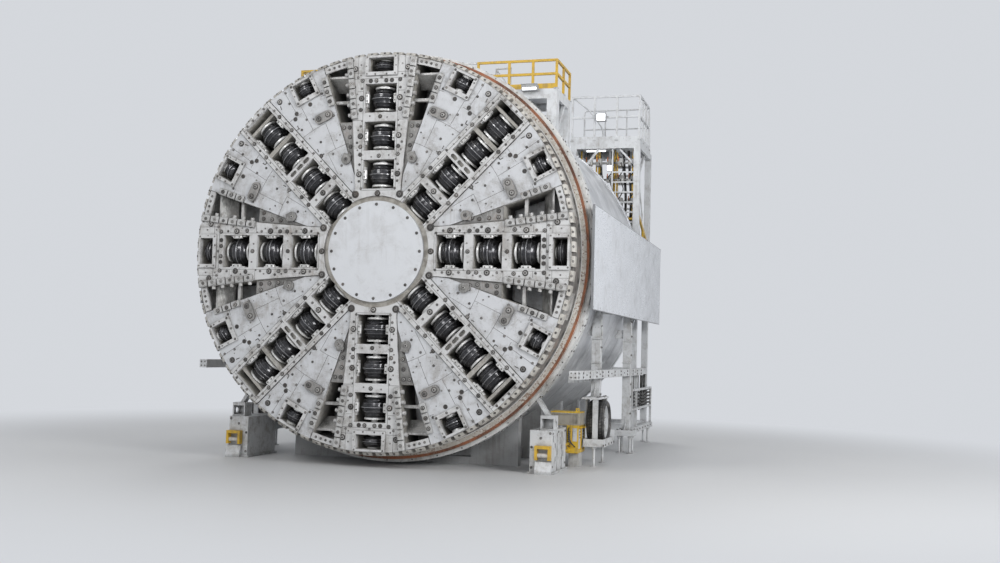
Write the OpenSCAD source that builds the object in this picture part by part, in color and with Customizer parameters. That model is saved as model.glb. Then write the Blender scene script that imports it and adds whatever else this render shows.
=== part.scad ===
// Full-face tunnel boring machine front: cutterhead, shield, carriage and platforms.
// The cutterhead faces -Y, +X is its right side seen from the front, +Z is up.
// Millimetres. The origin is on the floor, under the middle of the machine.

/* [Machine] */
// Height of the machine's axis over the floor
axis_h = 4240; // [4230:10:4600]
// Length over all, from the scraper teeth to the rear tower's last legs
machine_len = 10500; // [10500:50:12000]

/* [Cutterhead] */
// Radius over the wear blocks on the rim
head_r = 4000; // [3950:10:4030]
// Depth of the cutterhead from the face of the arms to its back
head_depth = 800; // [780:10:810]
// Thickness of the arm plates
arm_plate_t = 70; // [50:5:90]
// How far the sector panels lie behind the arm plates
panel_drop = 25; // [10:5:40]
// Depth of the cutter housings behind the face of the arms
housing_depth = 620; // [600:10:700]
// Height of the wear blocks over the drum
rim_block_h = 70; // [50:5:90]
// Number of wear blocks round the rim
rim_block_n = 90; // [72:6:108]
// Radius of the round hub plate
hub_plate_r = 1000; // [940:10:1010]
// Width of the step round the hub plate
hub_gap = 105; // [60:5:120]
// How far the step round the hub plate lies behind the face of the arms
step_drop = 38; // [20:2:60]

/* [Arms] */
// Half width of an upright or level arm beside its inner window
arm_half_in = 484; // [460:2:500]
// Half width of the same arm where the muck slots start
arm_half_mid = 584; // [560:2:600]
// Half width of the same arm at the rim
arm_half_out = 745; // [720:5:760]
// Half width of a diagonal arm
diag_half = 440; // [420:5:460]
// Radius at which the muck slots start
slot_r_in = 2600; // [2560:10:2700]
// Radius at which the muck slots end
slot_r_out = 3850; // [3800:10:3870]
// Angle from an upright or level arm to the panel edge of a muck slot
slot_angle = 18.7; // [18:0.1:19.5]
// Width of the seam between plates
seam = 12; // [6:1:20]
// Distance from one scraper tooth to the next
tooth_pitch = 206; // [200:2:220]
// Length of a scraper tooth's block
tooth_l = 184; // [160:2:190]
// Width of a scraper tooth's block
tooth_w = 112; // [90:2:120]
// Radius of a scraper tooth's peg
peg_r = 40; // [30:1:42]
// How far a peg reaches into the muck slot
peg_out = 85; // [50:5:100]
// Radius of the bosses at the gussets' inner ends
boss_r = 97; // [80:1:110]
// Width of the two-bolt pads on the panels
pad_w = 190; // [150:5:200]
// Length of the two-bolt pads on the panels
pad_l = 405; // [360:5:420]
// Height of the two-bolt pads and bosses over the panels
pad_t = 45; // [20:5:50]
// Radial width of the bars across a muck slot
slot_bar_w = 60; // [40:5:80]
// Radial distance from a muck slot's inner end to its bar
slot_bar_at = 385; // [340:5:420]
// Thickness of the sloping plate across a muck slot
chute_t = 40; // [30:2:50]

/* [Disc cutters] */
// Radius of a cutter over its middle disc
cutter_r = 285; // [260:1:290]
// Length of a face cutter's barrel
cutter_len = 380; // [340:5:390]
// How far the discs stand in front of the arms
cutter_proud = 30; // [0:5:40]
// Height of the scraper teeth over the arms
tooth_h = 45; // [40:5:60]
// Height of the gauge windows' bolted frames
gauge_frame_h = 35; // [20:5:40]
// Radius of a cutter's fixed shaft
shaft_r = 70; // [50:1:90]
// Radial clearance between barrel and shaft
shaft_gap = 0.8; // [0.6:0.1:0.9]
// Radius of the end flanges of a cutter
flange_r = 205; // [180:5:215]
// Thickness of the end flanges of a cutter
flange_t = 36; // [30:1:40]
// Gap between barrel and end flange
flange_gap = 12; // [8:1:16]
// Width of the clamp bars beside a face cutter
clamp_w = 28; // [20:1:30]
// Height of the clamp bars beside a face cutter
clamp_h = 90; // [60:5:120]
// Length of the clamp bars beside a face cutter
clamp_len = 320; // [240:10:340]
// Radial length of a cutter window in an upright or level arm
win_len = 580; // [560:5:590]
// Width of a cutter window in an upright or level arm
win_wid = 660; // [640:5:680]
// Radius of an arm's gauge cutter over its disc
gauge_r = 255; // [240:1:258]
// Length of an arm's gauge cutter barrel
gauge_len = 200; // [180:5:210]
// Thickness of the end flanges of an arm's gauge cutter
gauge_flange_t = 22; // [16:1:26]
// Radial length of an arm's gauge window
gauge_win_len = 284; // [280:2:300]
// Width of an arm's gauge window
gauge_win_wid = 536; // [530:2:550]
// Radius of a panel's gauge cutter over its disc
side_r = 180; // [160:1:185]
// Length of a panel's gauge cutter barrel
side_len = 236; // [220:2:250]
// Radial length of a panel's gauge window
side_win_len = 340; // [330:2:350]
// Width of a panel's gauge window
side_win_wid = 405; // [395:2:410]
// Angle from an upright or level arm to a panel's gauge cutter
side_angle = 27; // [26:0.1:28]
// Radius at which the panel gauge cutters sit
side_at_r = 3700; // [3680:5:3710]

/* [Shield] */
// Outer radius of the shield skin
shield_r = 3940; // [3900:10:3960]
// Thickness of the shield skin
skin_t = 60; // [40:5:80]
// Distance from the face of the arms to the rear edge of the shield
shield_end = 8200; // [7800:50:8250]
// Outer radius of the flange ring
flange_ring_r = 4190; // [4160:10:4200]
// Outer radius of the seal band
band_r = 4120; // [4080:10:4140]
// Length of the seal band
band_len = 165; // [150:5:180]
// Length of the flange ring
flange_ring_len = 335; // [300:5:360]
// Depth of the long slots round the flange ring
ring_slot_d = 60; // [40:5:80]
// Width of the long slots round the flange ring
ring_slot_w = 36; // [30:2:44]
// Number of long slots round the flange ring
ring_slot_n = 48; // [36:4:56]
// How far the seal band reaches inwards past the inside of the shield
band_in = 180; // [150:10:200]
// Gap between the cutterhead's back and the seal band
band_gap = 20; // [10:5:40]
// Radius of the cutterhead's drive pedestal
pedestal_r = 1400; // [1300:10:1500]
// Running clearance of the pedestal in the bulkhead
pedestal_gap = 0.8; // [0.6:0.1:0.9]
// Thickness of the bulkhead
bulkhead_t = 160; // [120:10:200]
// Number of drive motors
motor_n = 10; // [8:1:12]
// Number of thrust cylinders
thrust_n = 16; // [12:2:18]
// Outer radius of a thrust cylinder's barrel
thrust_r = 130; // [110:5:140]
// Radius of a thrust cylinder's rod
thrust_rod_r = 95; // [80:5:100]
// Radial clearance of a thrust cylinder's rod
rod_gap = 0.8; // [0.6:0.1:0.9]
// Stroke of the thrust cylinders
thrust_stroke = 1700; // [1200:50:1750]

/* [Side boards] */
// Distance from the machine's axis to the outer face of a board
board_x = 4240; // [4220:5:4300]
// Thickness of a board with its turned edges
board_t = 50; // [30:5:60]
// Height of a board's top edge over the axis
board_top = 984; // [900:10:1100]
// Depth of a board's bottom edge under the axis
board_bottom = 1048; // [1000:10:1100]
// Distance from the face of the arms to a board's front edge
board_front = 680; // [650:10:800]
// Distance from the face of the arms to a board's rear edge
board_rear = 9840; // [9500:10:10000]

/* [Carriage] */
// Distance from the machine's axis to the middle of the second column and the upper beam
frame_x = 3945; // [3940:5:3960]
// Distance from the machine's axis to the middle of the wheel's column
wheel_column_x = 3830; // [3820:5:3840]
// Width of the side frames' columns
column_w = 190; // [160:5:200]
// Depth of the columns' tops under the axis
column_top = 900; // [850:10:1000]
// Distance from the face to the wheel and its column
wheel_y = 3255; // [3200:5:3400]
// Distance from the face to the second column
column_y = 6500; // [6200:50:6600]
// Distance from the machine's axis to the middle of a tyre
tyre_x = 3905; // [3900:5:3915]
// Depth of the wheels' axis under the machine's axis
wheel_drop = 3330; // [3300:5:3360]
// Radius of a tyre
tyre_r = 470; // [440:5:480]
// Width of a tyre
tyre_w = 380; // [340:5:385]
// Radius of a wheel's rim
rim_r = 345; // [300:5:350]
// Radius of a wheel's axle
axle_r = 60; // [50:1:70]
// Radius of a wheel's hub
hub_r = 110; // [100:5:130]
// Half length of a wheel's hub
hub_half = 120; // [100:5:140]
// Clearance between axle and hub
axle_gap = 0.8; // [0.6:0.1:0.9]
// Gap between a tyre and its tray
tray_gap = 8; // [6:1:15]
// Wall of a wheel tray
tray_t = 20; // [12:1:24]
// Height of a wheel tray
tray_h = 160; // [120:5:180]
// Gap between a tyre and the legs and plate round it
leg_gap = 15; // [10:1:25]
// Thickness of the flange plate over a wheel
plate_t = 40; // [30:2:50]
// Depth of the upper beam's underside under the axis
beam_drop = 2400; // [2350:10:2450]
// Height of the upper beam
beam_h = 170; // [150:5:200]
// Width of the upper beam
beam_w = 160; // [140:5:180]
// Distance from the face to the upper beam's front end
beam_front = 400; // [350:10:500]
// Depth of the lower beam's underside under the axis
low_beam_drop = 2480; // [2460:10:2500]
// Side of the lower beam
low_beam_w = 125; // [100:5:130]
// Height of the second column's base
base_h = 140; // [120:5:160]
// Width of the rear runner
runner_w = 130; // [100:5:140]
// Side of the tubes of the cage behind the second column
cage_w = 56; // [40:2:60]
// Radius of a screw foot's spindle
spindle_r = 28; // [20:1:35]
// Radius of a screw foot's plate
pad_r = 79; // [60:1:80]
// Distance from the machine's axis to the middle of a foot box
foot_x = 3256; // [3200:4:3260]
// Distance from the face to a foot box's front
foot_y = 760; // [740:5:800]
// Width of a front foot box
foot_w = 436; // [400:4:440]
// Length of a front foot box
foot_l = 1230; // [1150:10:1250]
// Gap between the flange ring and the inner top corner of a foot's bracket
foot_gap = 282; // [270:2:300]
// Height of a foot's bracket
bracket_h = 280; // [260:5:300]
// Width of a foot's bracket
bracket_w = 286; // [260:2:290]
// Length of a foot's bracket
bracket_l = 292; // [280:2:310]
// Wall of a foot's bracket
bracket_t = 28; // [20:1:36]
// Side of the two struts between a foot's bracket and the flange ring
strut_w = 66; // [50:2:70]
// Half distance between the middles of the cradle's two rails
cradle_x = 1900; // [1800:10:2000]
// Thickness of the cradle's saddle plates
saddle_t = 240; // [200:10:260]
// Number of saddle plates on each rail
saddle_n = 4; // [3:1:5]
// Distance from the flange ring's back to the first saddle plate
saddle_gap = 580; // [500:10:700]
// Distance from the last saddle plate to the shield's rear edge
saddle_end = 300; // [250:10:400]

/* [Platforms] */
// Height of both decks' top over the axis
deck_z = 3730; // [3700:10:3800]
// Depth of a deck's edge beams
deck_t = 210; // [180:5:240]
// Size of the railing tubes
rail_w = 50; // [40:2:60]
// Height of the front railing over its deck
front_rail_h = 640; // [600:10:1100]
// Height of the rear railing over its deck
rear_rail_h = 1200; // [1050:10:1250]
// Distance from the face to the front edge of the front deck
front_deck_y = 2480; // [2400:10:2600]
// Length of the front deck
front_deck_l = 1320; // [1200:10:1400]
// Distance from the machine's axis to the front deck's inner edge
front_deck_in = 1850; // [1800:10:1900]
// Distance from the machine's axis to the front deck's outer edge
front_deck_out = 3000; // [2950:10:3050]
// Side of the front deck's legs
deck_leg_w = 220; // [180:5:240]
// Distance from the face to the front edge of the rear tower
tower_y = 8400; // [8300:10:8450]
// Side of the tower's square legs
leg_w = 160; // [140:5:180]
// Distance from the machine's axis to the tower's inner legs
tower_in = 2000; // [1950:10:2050]
// Distance from the machine's axis to the tower's outer face
tower_out = 3850; // [3820:5:3860]
// Length of the rear deck
rear_deck_l = 1600; // [1500:20:1700]
// Height of the lower deck's top over the axis
low_deck_z = 1030; // [1000:10:1060]
// Distance from the tower's front to the head of the stairs
stair_in = 420; // [380:10:440]
// Inner width of the stairs
stair_w = 490; // [450:10:520]
// Distance from the machine's axis to the stairs' outer stringer
stair_x = 3600; // [3560:10:3620]
// Number of treads
tread_n = 11; // [9:1:13]
// Distance from the machine's axis to the middle of the ladder's stile
ladder_x = 3125; // [3080:5:3200]
// Height of the ladder's top rung over the axis
ladder_top = 2890; // [2800:10:3000]
// Distance from one rung of the ladder to the next
rung_pitch = 265; // [240:5:300]
// Side of the ladder's stile and rungs
rung_w = 36; // [28:2:44]

/* [Hidden] */
$fn = 96;

eps = 1;
seat = 0.3;
// The whole machine spans from what stands farthest in front of the arms to the tower's rear legs
front_out = max(cutter_proud, tooth_h, gauge_frame_h);
rear_y = machine_len - front_out;
face_y = -(rear_y - front_out) / 2;
drum_r = head_r - rim_block_h;
hub_hole_r = hub_plate_r + hub_gap;
panel_t = arm_plate_t - panel_drop;
arm_slope = atan((arm_half_out - arm_half_mid) / (drum_r - slot_r_in));
cutter_z = cutter_proud - cutter_r;
side_z = cutter_proud - side_r - 10;
bore_r = shaft_r + shaft_gap;

// Middle of the boss at a gusset's tip, for an arm along X
boss_at = [1840, 700];
gusset_t = 25;
// Angle from an arm to its two-bolt pads, and the radius at which they lie
pad_angle = 24.2;
pad_at_r = 2975;

// Windows of an upright or level arm: radius of the middle, length, width
ARM_WINDOWS = [
    [1536, win_len, win_wid],
    [2300, win_len, win_wid],
    [3060, win_len, win_wid]];
gauge_at_r = 3728;
// Windows of a diagonal arm: radius of the middle, length, width
DIAG_WINDOWS = [
    [1325, 520, 640],
    [2040, 590, 650]];
long_in = 2490;
long_out = 3840;
long_wid = 650;
// Housings in a diagonal arm's long window: inner radius, outer radius
LONG_POCKETS = [[long_in, 3040], [3125, 3650]];
DIAG_CUTTERS = [1325, 2040, 2775, 3395];
// Inner radius of the opening behind the last of them
chute_in = 3710;

band_y0 = head_depth + band_gap;
band_y1 = band_y0 + band_len;
ring_y1 = band_y1 + flange_ring_len;
skin_in = shield_r - skin_t;
thrust_at_r = skin_in - 60 - thrust_r;
thrust_y0 = ring_y1 + 900;
thrust_y1 = shield_end - 2100;
fine_fn = 360;

// Carriage levels, counted from the axis
ring_out = max(flange_ring_r, shield_r);
tray_top = -wheel_drop - tyre_r - tray_gap;
base_z = tray_top - tray_t;
plate_z = -wheel_drop + tyre_r + leg_gap;
bracket_x = foot_x - 52;
bracket_top = -sqrt(pow(ring_out + foot_gap, 2) - pow(bracket_x, 2));
foot_top = bracket_top - bracket_h;
axle_plate_x = tyre_x - tyre_w / 2 - 35;
tray_y = tyre_r + leg_gap + 80;
rear_post_y = rear_y - cage_w;

// Children are drawn in the face's own frame: X right, Y up, Z forward, axis at the origin
module head_frame() translate([0, face_y, axis_h]) rotate([90, 0, 0]) children();

// Children are drawn with Y counted backwards from the face and Z from the axis
module body_frame() translate([0, face_y, axis_h]) children();

module box(x, y, z) translate([x[0], y[0], z[0]]) cube([x[1] - x[0], y[1] - y[0], z[1] - z[0]]);

module both_sides() {
    children();
    mirror([1, 0, 0]) children();
}

module tube_y(r, y0, y1, fn = 96) {
    translate([0, y0, 0]) rotate([-90, 0, 0]) cylinder(r = r, h = y1 - y0, $fn = fn);
}

module ring_y(r_out, r_in, y0, y1) {
    difference() {
        tube_y(r_out, y0, y1);
        tube_y(r_in, y0 - eps, y1 + eps);
    }
}

// A radial pocket of a length and width round radius r, between two depths
module pocket(r, len, wid, z0, z1) {
    translate([r - len / 2, -wid / 2, z0]) cube([len, wid, z1 - z0]);
}

// Outlines on the face

module arm_outline(grow = 0) {
    half = [arm_half_in - 40, arm_half_in, arm_half_mid, arm_half_out] + [grow, grow, grow, grow];
    polygon([[0, -half[0]], [1300, -half[1]], [slot_r_in, -half[2]], [drum_r, -half[3]],
        [drum_r, half[3]], [slot_r_in, half[2]], [1300, half[1]], [0, half[0]]]);
}

module diag_outline(grow = 0) {
    translate([0, -diag_half - grow]) square([drum_r, 2 * (diag_half + grow)]);
}

// The sector between an arm's edge and a panel's edge, on the side of positive Y
module slot_outline_full(grow = 0) {
    polygon([[slot_r_in - grow, arm_half_mid + seam - grow],
        [drum_r, arm_half_out + seam - grow],
        [drum_r, drum_r * tan(slot_angle) + grow],
        [slot_r_in - grow, slot_r_in * tan(slot_angle) + grow]]);
}

// The muck slot beside an arm
module slot_outline(grow = 0) {
    intersection() {
        slot_outline_full(grow);
        circle(r = slot_r_out + grow, $fn = fine_fn);
    }
}

// The recess with the gusset plate, between hub and muck slot
module gusset_outline(inset = 0) {
    t = tan(slot_angle);
    x0 = 1500;
    polygon([[x0 + 4 * inset, x0 * t + inset * 0.6],
        [slot_r_in - inset, arm_half_mid + seam + inset],
        [slot_r_in - inset, slot_r_in * t - inset]]);
}

module windows(z0, z1) {
    for (a = [0:90:270]) rotate([0, 0, a]) {
        for (w = ARM_WINDOWS) pocket(w[0], w[1], w[2], z0, z1);
        pocket(gauge_at_r, gauge_win_len, gauge_win_wid, z0, z1);
    }
    for (a = [45:90:315]) rotate([0, 0, a])
        for (w = DIAG_WINDOWS) pocket(w[0], w[1], w[2], z0, z1);
}

module side_places() {
    for (a = [0:90:270], s = [-1, 1]) rotate([0, 0, a + s * side_angle])
        translate([side_at_r, 0, 0]) children();
}

// Cutterhead

// Centre piece with the drive pedestal: the outer segments stand round it, and the slots start at it
module head_drum() color("gainsboro") head_frame() difference() {
    t = slot_r_in * tan(slot_angle);
    union() {
        translate([0, 0, -head_depth]) linear_extrude(head_depth - arm_plate_t)
            polygon([for (a = [0:90:270], v = [-t, t])
                [slot_r_in * cos(a) - v * sin(a), slot_r_in * sin(a) + v * cos(a)]]);
        translate([0, 0, -band_y1 - bulkhead_t])
            cylinder(r = pedestal_r, h = bulkhead_t + band_gap + band_len + eps);
    }
    windows(-housing_depth, 0);
}

// Four arm boxes and four sector boxes, with the muck slots between them
module head_segments() color("gainsboro") head_frame() difference() {
    x0 = slot_r_in + seat;
    t = tan(slot_angle);
    translate([0, 0, -head_depth]) linear_extrude(head_depth - arm_plate_t) intersection() {
        for (a = [0:90:270]) rotate(a) {
            polygon([[x0, -arm_half_mid - seam], [drum_r, -arm_half_out - seam],
                [drum_r, arm_half_out + seam], [x0, arm_half_mid + seam]]);
            polygon([[x0, x0 * t], [drum_r, drum_r * t], [drum_r, drum_r], [drum_r * t, drum_r],
                [x0 * t, x0]]);
        }
        circle(r = drum_r, $fn = fine_fn);
    }
    windows(-housing_depth, 0);
    for (a = [45:90:315]) rotate([0, 0, a]) {
        for (p = LONG_POCKETS) pocket((p[0] + p[1]) / 2, p[1] - p[0], long_wid, -housing_depth, 0);
        pocket((chute_in + long_out) / 2, long_out - chute_in, long_wid, -head_depth - eps, 0);
    }
    side_places() translate([-side_win_len / 2, -side_win_wid / 2, -housing_depth])
        cube([side_win_len, side_win_wid, housing_depth]);
}

module face_arms() color("white") head_frame() {
    difference() {
        translate([0, 0, -arm_plate_t]) linear_extrude(arm_plate_t) difference() {
            intersection() {
                union() {
                    for (a = [0:90:270]) rotate(a) arm_outline();
                    for (a = [45:90:315]) rotate(a) diag_outline();
                }
                circle(r = drum_r, $fn = fine_fn);
            }
            circle(r = hub_hole_r);
        }
        windows(-arm_plate_t - eps, eps);
        for (a = [45:90:315]) rotate([0, 0, a]) {
            pocket((long_in + long_out) / 2, long_out - long_in, long_wid, -arm_plate_t - eps, eps);
            for (v = [-190, 0, 190]) translate([(2335 + long_in) / 2, v, -arm_plate_t - eps]) slot_hole();
        }
    }
}

module slot_hole() {
    for (s = [-1, 1]) translate([0, s * 40, 0]) cylinder(r = 38, h = arm_plate_t + 2 * eps, $fn = 32);
    translate([-38, -40, 0]) cube([76, 80, arm_plate_t + 2 * eps]);
}

module panel_outline() {
    t = tan(slot_angle);
    difference() {
        intersection() {
            polygon([[0, 0], [1500, 1500 * t], [slot_r_in, slot_r_in * t + seam],
                [drum_r, drum_r * t + seam], [drum_r, drum_r], [0, 0]]);
            circle(r = drum_r, $fn = fine_fn);
        }
        circle(r = hub_hole_r);
        arm_outline(seam);
        rotate(45) diag_outline(seam);
    }
}

module face_panels() color("whitesmoke") head_frame() {
    difference() {
        for (a = [0:90:270], s = [0, 1]) rotate([0, 0, a]) mirror([0, s, 0])
            translate([0, 0, -arm_plate_t]) linear_extrude(panel_t) panel_outline();
        side_places() translate([-side_win_len / 2, -side_win_wid / 2, -arm_plate_t - eps])
            cube([side_win_len, side_win_wid, arm_plate_t]);
    }
}

module hub_plate() color("white") head_frame() {
    translate([0, 0, -arm_plate_t]) cylinder(r = hub_plate_r - 20, h = arm_plate_t + 10);
    translate([0, 0, 0]) cylinder(r = hub_plate_r, h = 30);
    difference() {
        translate([0, 0, -arm_plate_t]) cylinder(r = hub_hole_r - seat, h = arm_plate_t - step_drop);
        windows(-arm_plate_t - eps, 0);
    }
}

module gusset_plates() color("gray") head_frame() {
    for (a = [0:90:270], s = [0, 1]) rotate([0, 0, a]) mirror([0, s, 0])
        translate([0, 0, -arm_plate_t]) linear_extrude(gusset_t) gusset_outline(14);
    for (a = [0:90:270], s = [0, 1]) rotate([0, 0, a]) mirror([0, s, 0])
        translate([boss_at[0], boss_at[1], -panel_drop]) boss();
    for (a = [0:90:270], s = [-1, 1]) rotate([0, 0, a + s * pad_angle])
        translate([pad_at_r, 0, -panel_drop]) {
            half = (pad_l - pad_w) / 2;
            for (v = [-half, half]) translate([0, v, 0]) cylinder(r = pad_w / 2, h = pad_t, $fn = 48);
            translate([-pad_w / 2, -half, 0]) cube([pad_w, 2 * half, pad_t]);
        }
}

// Round boss with a square tail towards the gusset's tip, round a dark bolt seat
module boss() difference() {
    union() {
        cylinder(r = boss_r, h = pad_t, $fn = 48);
        rotate([0, 0, -14]) translate([0, -boss_r * 0.8, 0]) cube([boss_r + 25, boss_r * 1.6, pad_t - 6]);
    }
    translate([0, 0, pad_t - 22]) cylinder(r = 42, h = 23, $fn = 32);
}

// In each muck slot a straight bar, a sloping chute plate and the curved bar that closes the rim
module slot_bars() color("lightgray") head_frame() {
    chute_x = slot_r_in + slot_bar_at + 305;
    for (a = [0:90:270], s = [0, 1]) rotate([0, 0, a]) mirror([0, s, 0]) {
        intersection() {
            union() {
                translate([slot_r_in + slot_bar_at, 0, -arm_plate_t - 140]) cube([slot_bar_w, drum_r, 90]);
                rotate([-90, 0, 0]) linear_extrude(drum_r) polygon([[chute_x, 470],
                    [chute_x + chute_t, 470], [chute_x + 230 + chute_t, 150], [chute_x + 230, 150]]);
            }
            translate([0, 0, -head_depth]) linear_extrude(head_depth) slot_outline(-seat);
        }
        translate([0, 0, -head_depth]) linear_extrude(head_depth - arm_plate_t) difference() {
            intersection() {
                slot_outline_full(-seat);
                circle(r = drum_r, $fn = fine_fn);
            }
            circle(r = slot_r_out, $fn = fine_fn);
        }
    }
}

module rim_blocks() color("silver") head_frame() {
    step = 360 / rim_block_n;
    for (i = [0:rim_block_n - 1]) rotate([0, 0, i * step])
        rotate_extrude(angle = step * 0.72, $fn = 180)
            polygon([[drum_r + seat, -250], [head_r - 25, -250], [head_r, -225], [head_r, -75],
                [head_r - 55, -20], [drum_r + seat, -20]]);
}

module gauge_frames() color("white") head_frame() {
    for (a = [0:90:270]) rotate([0, 0, a]) difference() {
        translate([gauge_at_r - 215, -gauge_win_wid / 2 - 75, 0])
            cube([400, gauge_win_wid + 150, gauge_frame_h]);
        pocket(gauge_at_r, gauge_win_len, gauge_win_wid, -eps, gauge_frame_h + eps);
    }
    for (a = [0:90:270], s = [0, 1]) rotate([0, 0, a]) mirror([0, s, 0])
        translate([0, 0, -arm_plate_t]) linear_extrude(arm_plate_t - panel_drop) difference() {
            intersection() {
                slot_outline_full(-2);
                circle(r = drum_r - 12, $fn = fine_fn);
            }
            circle(r = slot_r_out - 60, $fn = fine_fn);
        }
    side_places() difference() {
        translate([-side_win_len / 2 - 90, -side_win_wid / 2 - 70, -panel_drop])
            cube([side_win_len + 135, side_win_wid + 140, gauge_frame_h]);
        translate([-side_win_len / 2, -side_win_wid / 2, -panel_drop - eps])
            cube([side_win_len, side_win_wid, gauge_frame_h + 2 * eps]);
    }
}

module edge_teeth() color("silver") head_frame() {
    for (a = [0:90:270], s = [0, 1]) rotate([0, 0, a]) mirror([0, s, 0]) {
        translate([slot_r_in, arm_half_mid, 0]) rotate([0, 0, arm_slope]) for (i = [0:5])
            translate([140 + i * tooth_pitch, 0, 0]) {
                tooth(tooth_h);
                if (i < 5) translate([0, seat, 4 - arm_plate_t + peg_r]) rotate([-90, 0, 0])
                    cylinder(r = peg_r, h = peg_out, $fn = 32);
            }
        rotate([0, 0, slot_angle]) for (i = [0:2])
            translate([slot_r_in / cos(slot_angle) + 470 + i * tooth_pitch, 12, -panel_drop])
                mirror([0, 1, 0]) tooth(tooth_h - 5);
    }
}

// A bolted scraper tooth on the edge of a muck slot, bevelled towards the slot, with a lip over the edge
module tooth(h) {
    translate([-tooth_l / 2, 0, 0]) rotate([90, 0, 90]) linear_extrude(tooth_l)
        polygon([[-tooth_w, 0], [20, 0], [20, h * 0.5], [-8, h], [-tooth_w + 10, h], [-tooth_w, h * 0.6]]);
}

// Disc cutters: barrels turn on fixed shafts between end flanges

// Profile of a barrel with three discs: length, outer radius
module barrel(len, r) {
    rotate([0, 90, 0]) difference() {
        rotate_extrude($fn = 64) polygon([[0, -len / 2], [r * 0.64, -len / 2], [r * 0.78, -len * 0.40],
            [r * 0.80, -len * 0.29], [r * 0.90, -len * 0.24], [r * 0.90, -len * 0.20],
            [r * 0.82, -len * 0.13], [r * 0.86, -len * 0.06], [r, -len * 0.025],
            [r, len * 0.025], [r * 0.86, len * 0.06], [r * 0.82, len * 0.13],
            [r * 0.90, len * 0.20], [r * 0.90, len * 0.24], [r * 0.80, len * 0.29],
            [r * 0.78, len * 0.40], [r * 0.64, len / 2], [0, len / 2]]);
        cylinder(r = bore_r, h = len + 2 * eps, center = true, $fn = 64);
    }
}

// Shaft with its end flanges, from wall to wall: barrel length, flange radius and thickness, ends
module saddle(barrel_len, fr, ft, x0, x1) {
    translate([x0, 0, 0]) rotate([0, 90, 0]) cylinder(r = shaft_r, h = x1 - x0, $fn = 64);
    for (s = [-1, 1]) translate([s * (barrel_len / 2 + flange_gap + ft / 2), 0, 0])
        rotate([0, 90, 0]) cylinder(r = fr, h = ft, center = true, $fn = 64);
}

// Clamp bars under the arm plate along both sides of a window of a width
module clamp_bars(wid) {
    for (s = [0, 1]) mirror([0, s, 0])
        translate([-clamp_len / 2, wid / 2 - seat - clamp_w, -cutter_z - arm_plate_t - 5 - clamp_h])
            cube([clamp_len, clamp_w, clamp_h]);
}

module cutter_saddles() color("lightgray") head_frame() {
    for (a = [0:90:270]) rotate([0, 0, a]) {
        for (w = ARM_WINDOWS) translate([w[0], 0, cutter_z]) {
            saddle(cutter_len, flange_r, flange_t, -w[1] / 2 + seat, w[1] / 2 - seat);
            clamp_bars(w[2]);
        }
        translate([gauge_at_r, 0, cutter_z])
            saddle(gauge_len, 120, gauge_flange_t, -gauge_win_len / 2 + seat, gauge_win_len / 2 - seat);
    }
    for (a = [45:90:315]) rotate([0, 0, a]) {
        for (w = DIAG_WINDOWS) translate([w[0], 0, cutter_z]) {
            saddle(cutter_len, flange_r, flange_t, -w[1] / 2 + seat, w[1] / 2 - seat);
            clamp_bars(w[2]);
        }
        for (i = [0, 1]) translate([DIAG_CUTTERS[i + 2], 0, cutter_z]) {
            p = LONG_POCKETS[i];
            c = DIAG_CUTTERS[i + 2];
            saddle(cutter_len, flange_r, flange_t, p[0] - c + seat, p[1] - c - seat);
            clamp_bars(long_wid);
        }
    }
    side_places() translate([0, 0, side_z])
        saddle(side_len, 100, flange_t, -side_win_len / 2 + seat, side_win_len / 2 - seat);
}

// Cutters of arm number i, counted from the right-hand level arm
module arm_cutters(i) {
    head_frame() rotate([0, 0, 45 * (i - 1)]) translate([0, 0, cutter_z]) {
        if (i % 2 == 1) {
            for (w = ARM_WINDOWS) translate([w[0], 0, 0]) barrel(cutter_len, cutter_r);
            translate([gauge_at_r, 0, 0]) barrel(gauge_len, gauge_r);
        } else {
            for (c = DIAG_CUTTERS) translate([c, 0, 0]) barrel(cutter_len, cutter_r);
        }
    }
}

// Gauge cutter number i in the sector panels
module side_cutter(i) {
    a = 90 * floor((i - 1) / 2) + (i % 2 == 1 ? side_angle : 90 - side_angle);
    head_frame() rotate([0, 0, a]) translate([side_at_r, 0, side_z]) barrel(side_len, side_r);
}

module arm_cutters_1() color("dimgray") arm_cutters(1);
module arm_cutters_2() color("dimgray") arm_cutters(2);
module arm_cutters_3() color("dimgray") arm_cutters(3);
module arm_cutters_4() color("dimgray") arm_cutters(4);
module arm_cutters_5() color("dimgray") arm_cutters(5);
module arm_cutters_6() color("dimgray") arm_cutters(6);
module arm_cutters_7() color("dimgray") arm_cutters(7);
module arm_cutters_8() color("dimgray") arm_cutters(8);
module side_cutter_1() color("dimgray") side_cutter(1);
module side_cutter_2() color("dimgray") side_cutter(2);
module side_cutter_3() color("dimgray") side_cutter(3);
module side_cutter_4() color("dimgray") side_cutter(4);
module side_cutter_5() color("dimgray") side_cutter(5);
module side_cutter_6() color("dimgray") side_cutter(6);
module side_cutter_7() color("dimgray") side_cutter(7);
module side_cutter_8() color("dimgray") side_cutter(8);

// Shield

module seal_band() color("sienna") body_frame() {
    ring_y(band_r, skin_in - band_in, band_y0, band_y1 - 60);
    ring_y(band_r - 30, skin_in - band_in, band_y1 - 60 - eps, band_y1);
}

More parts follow.
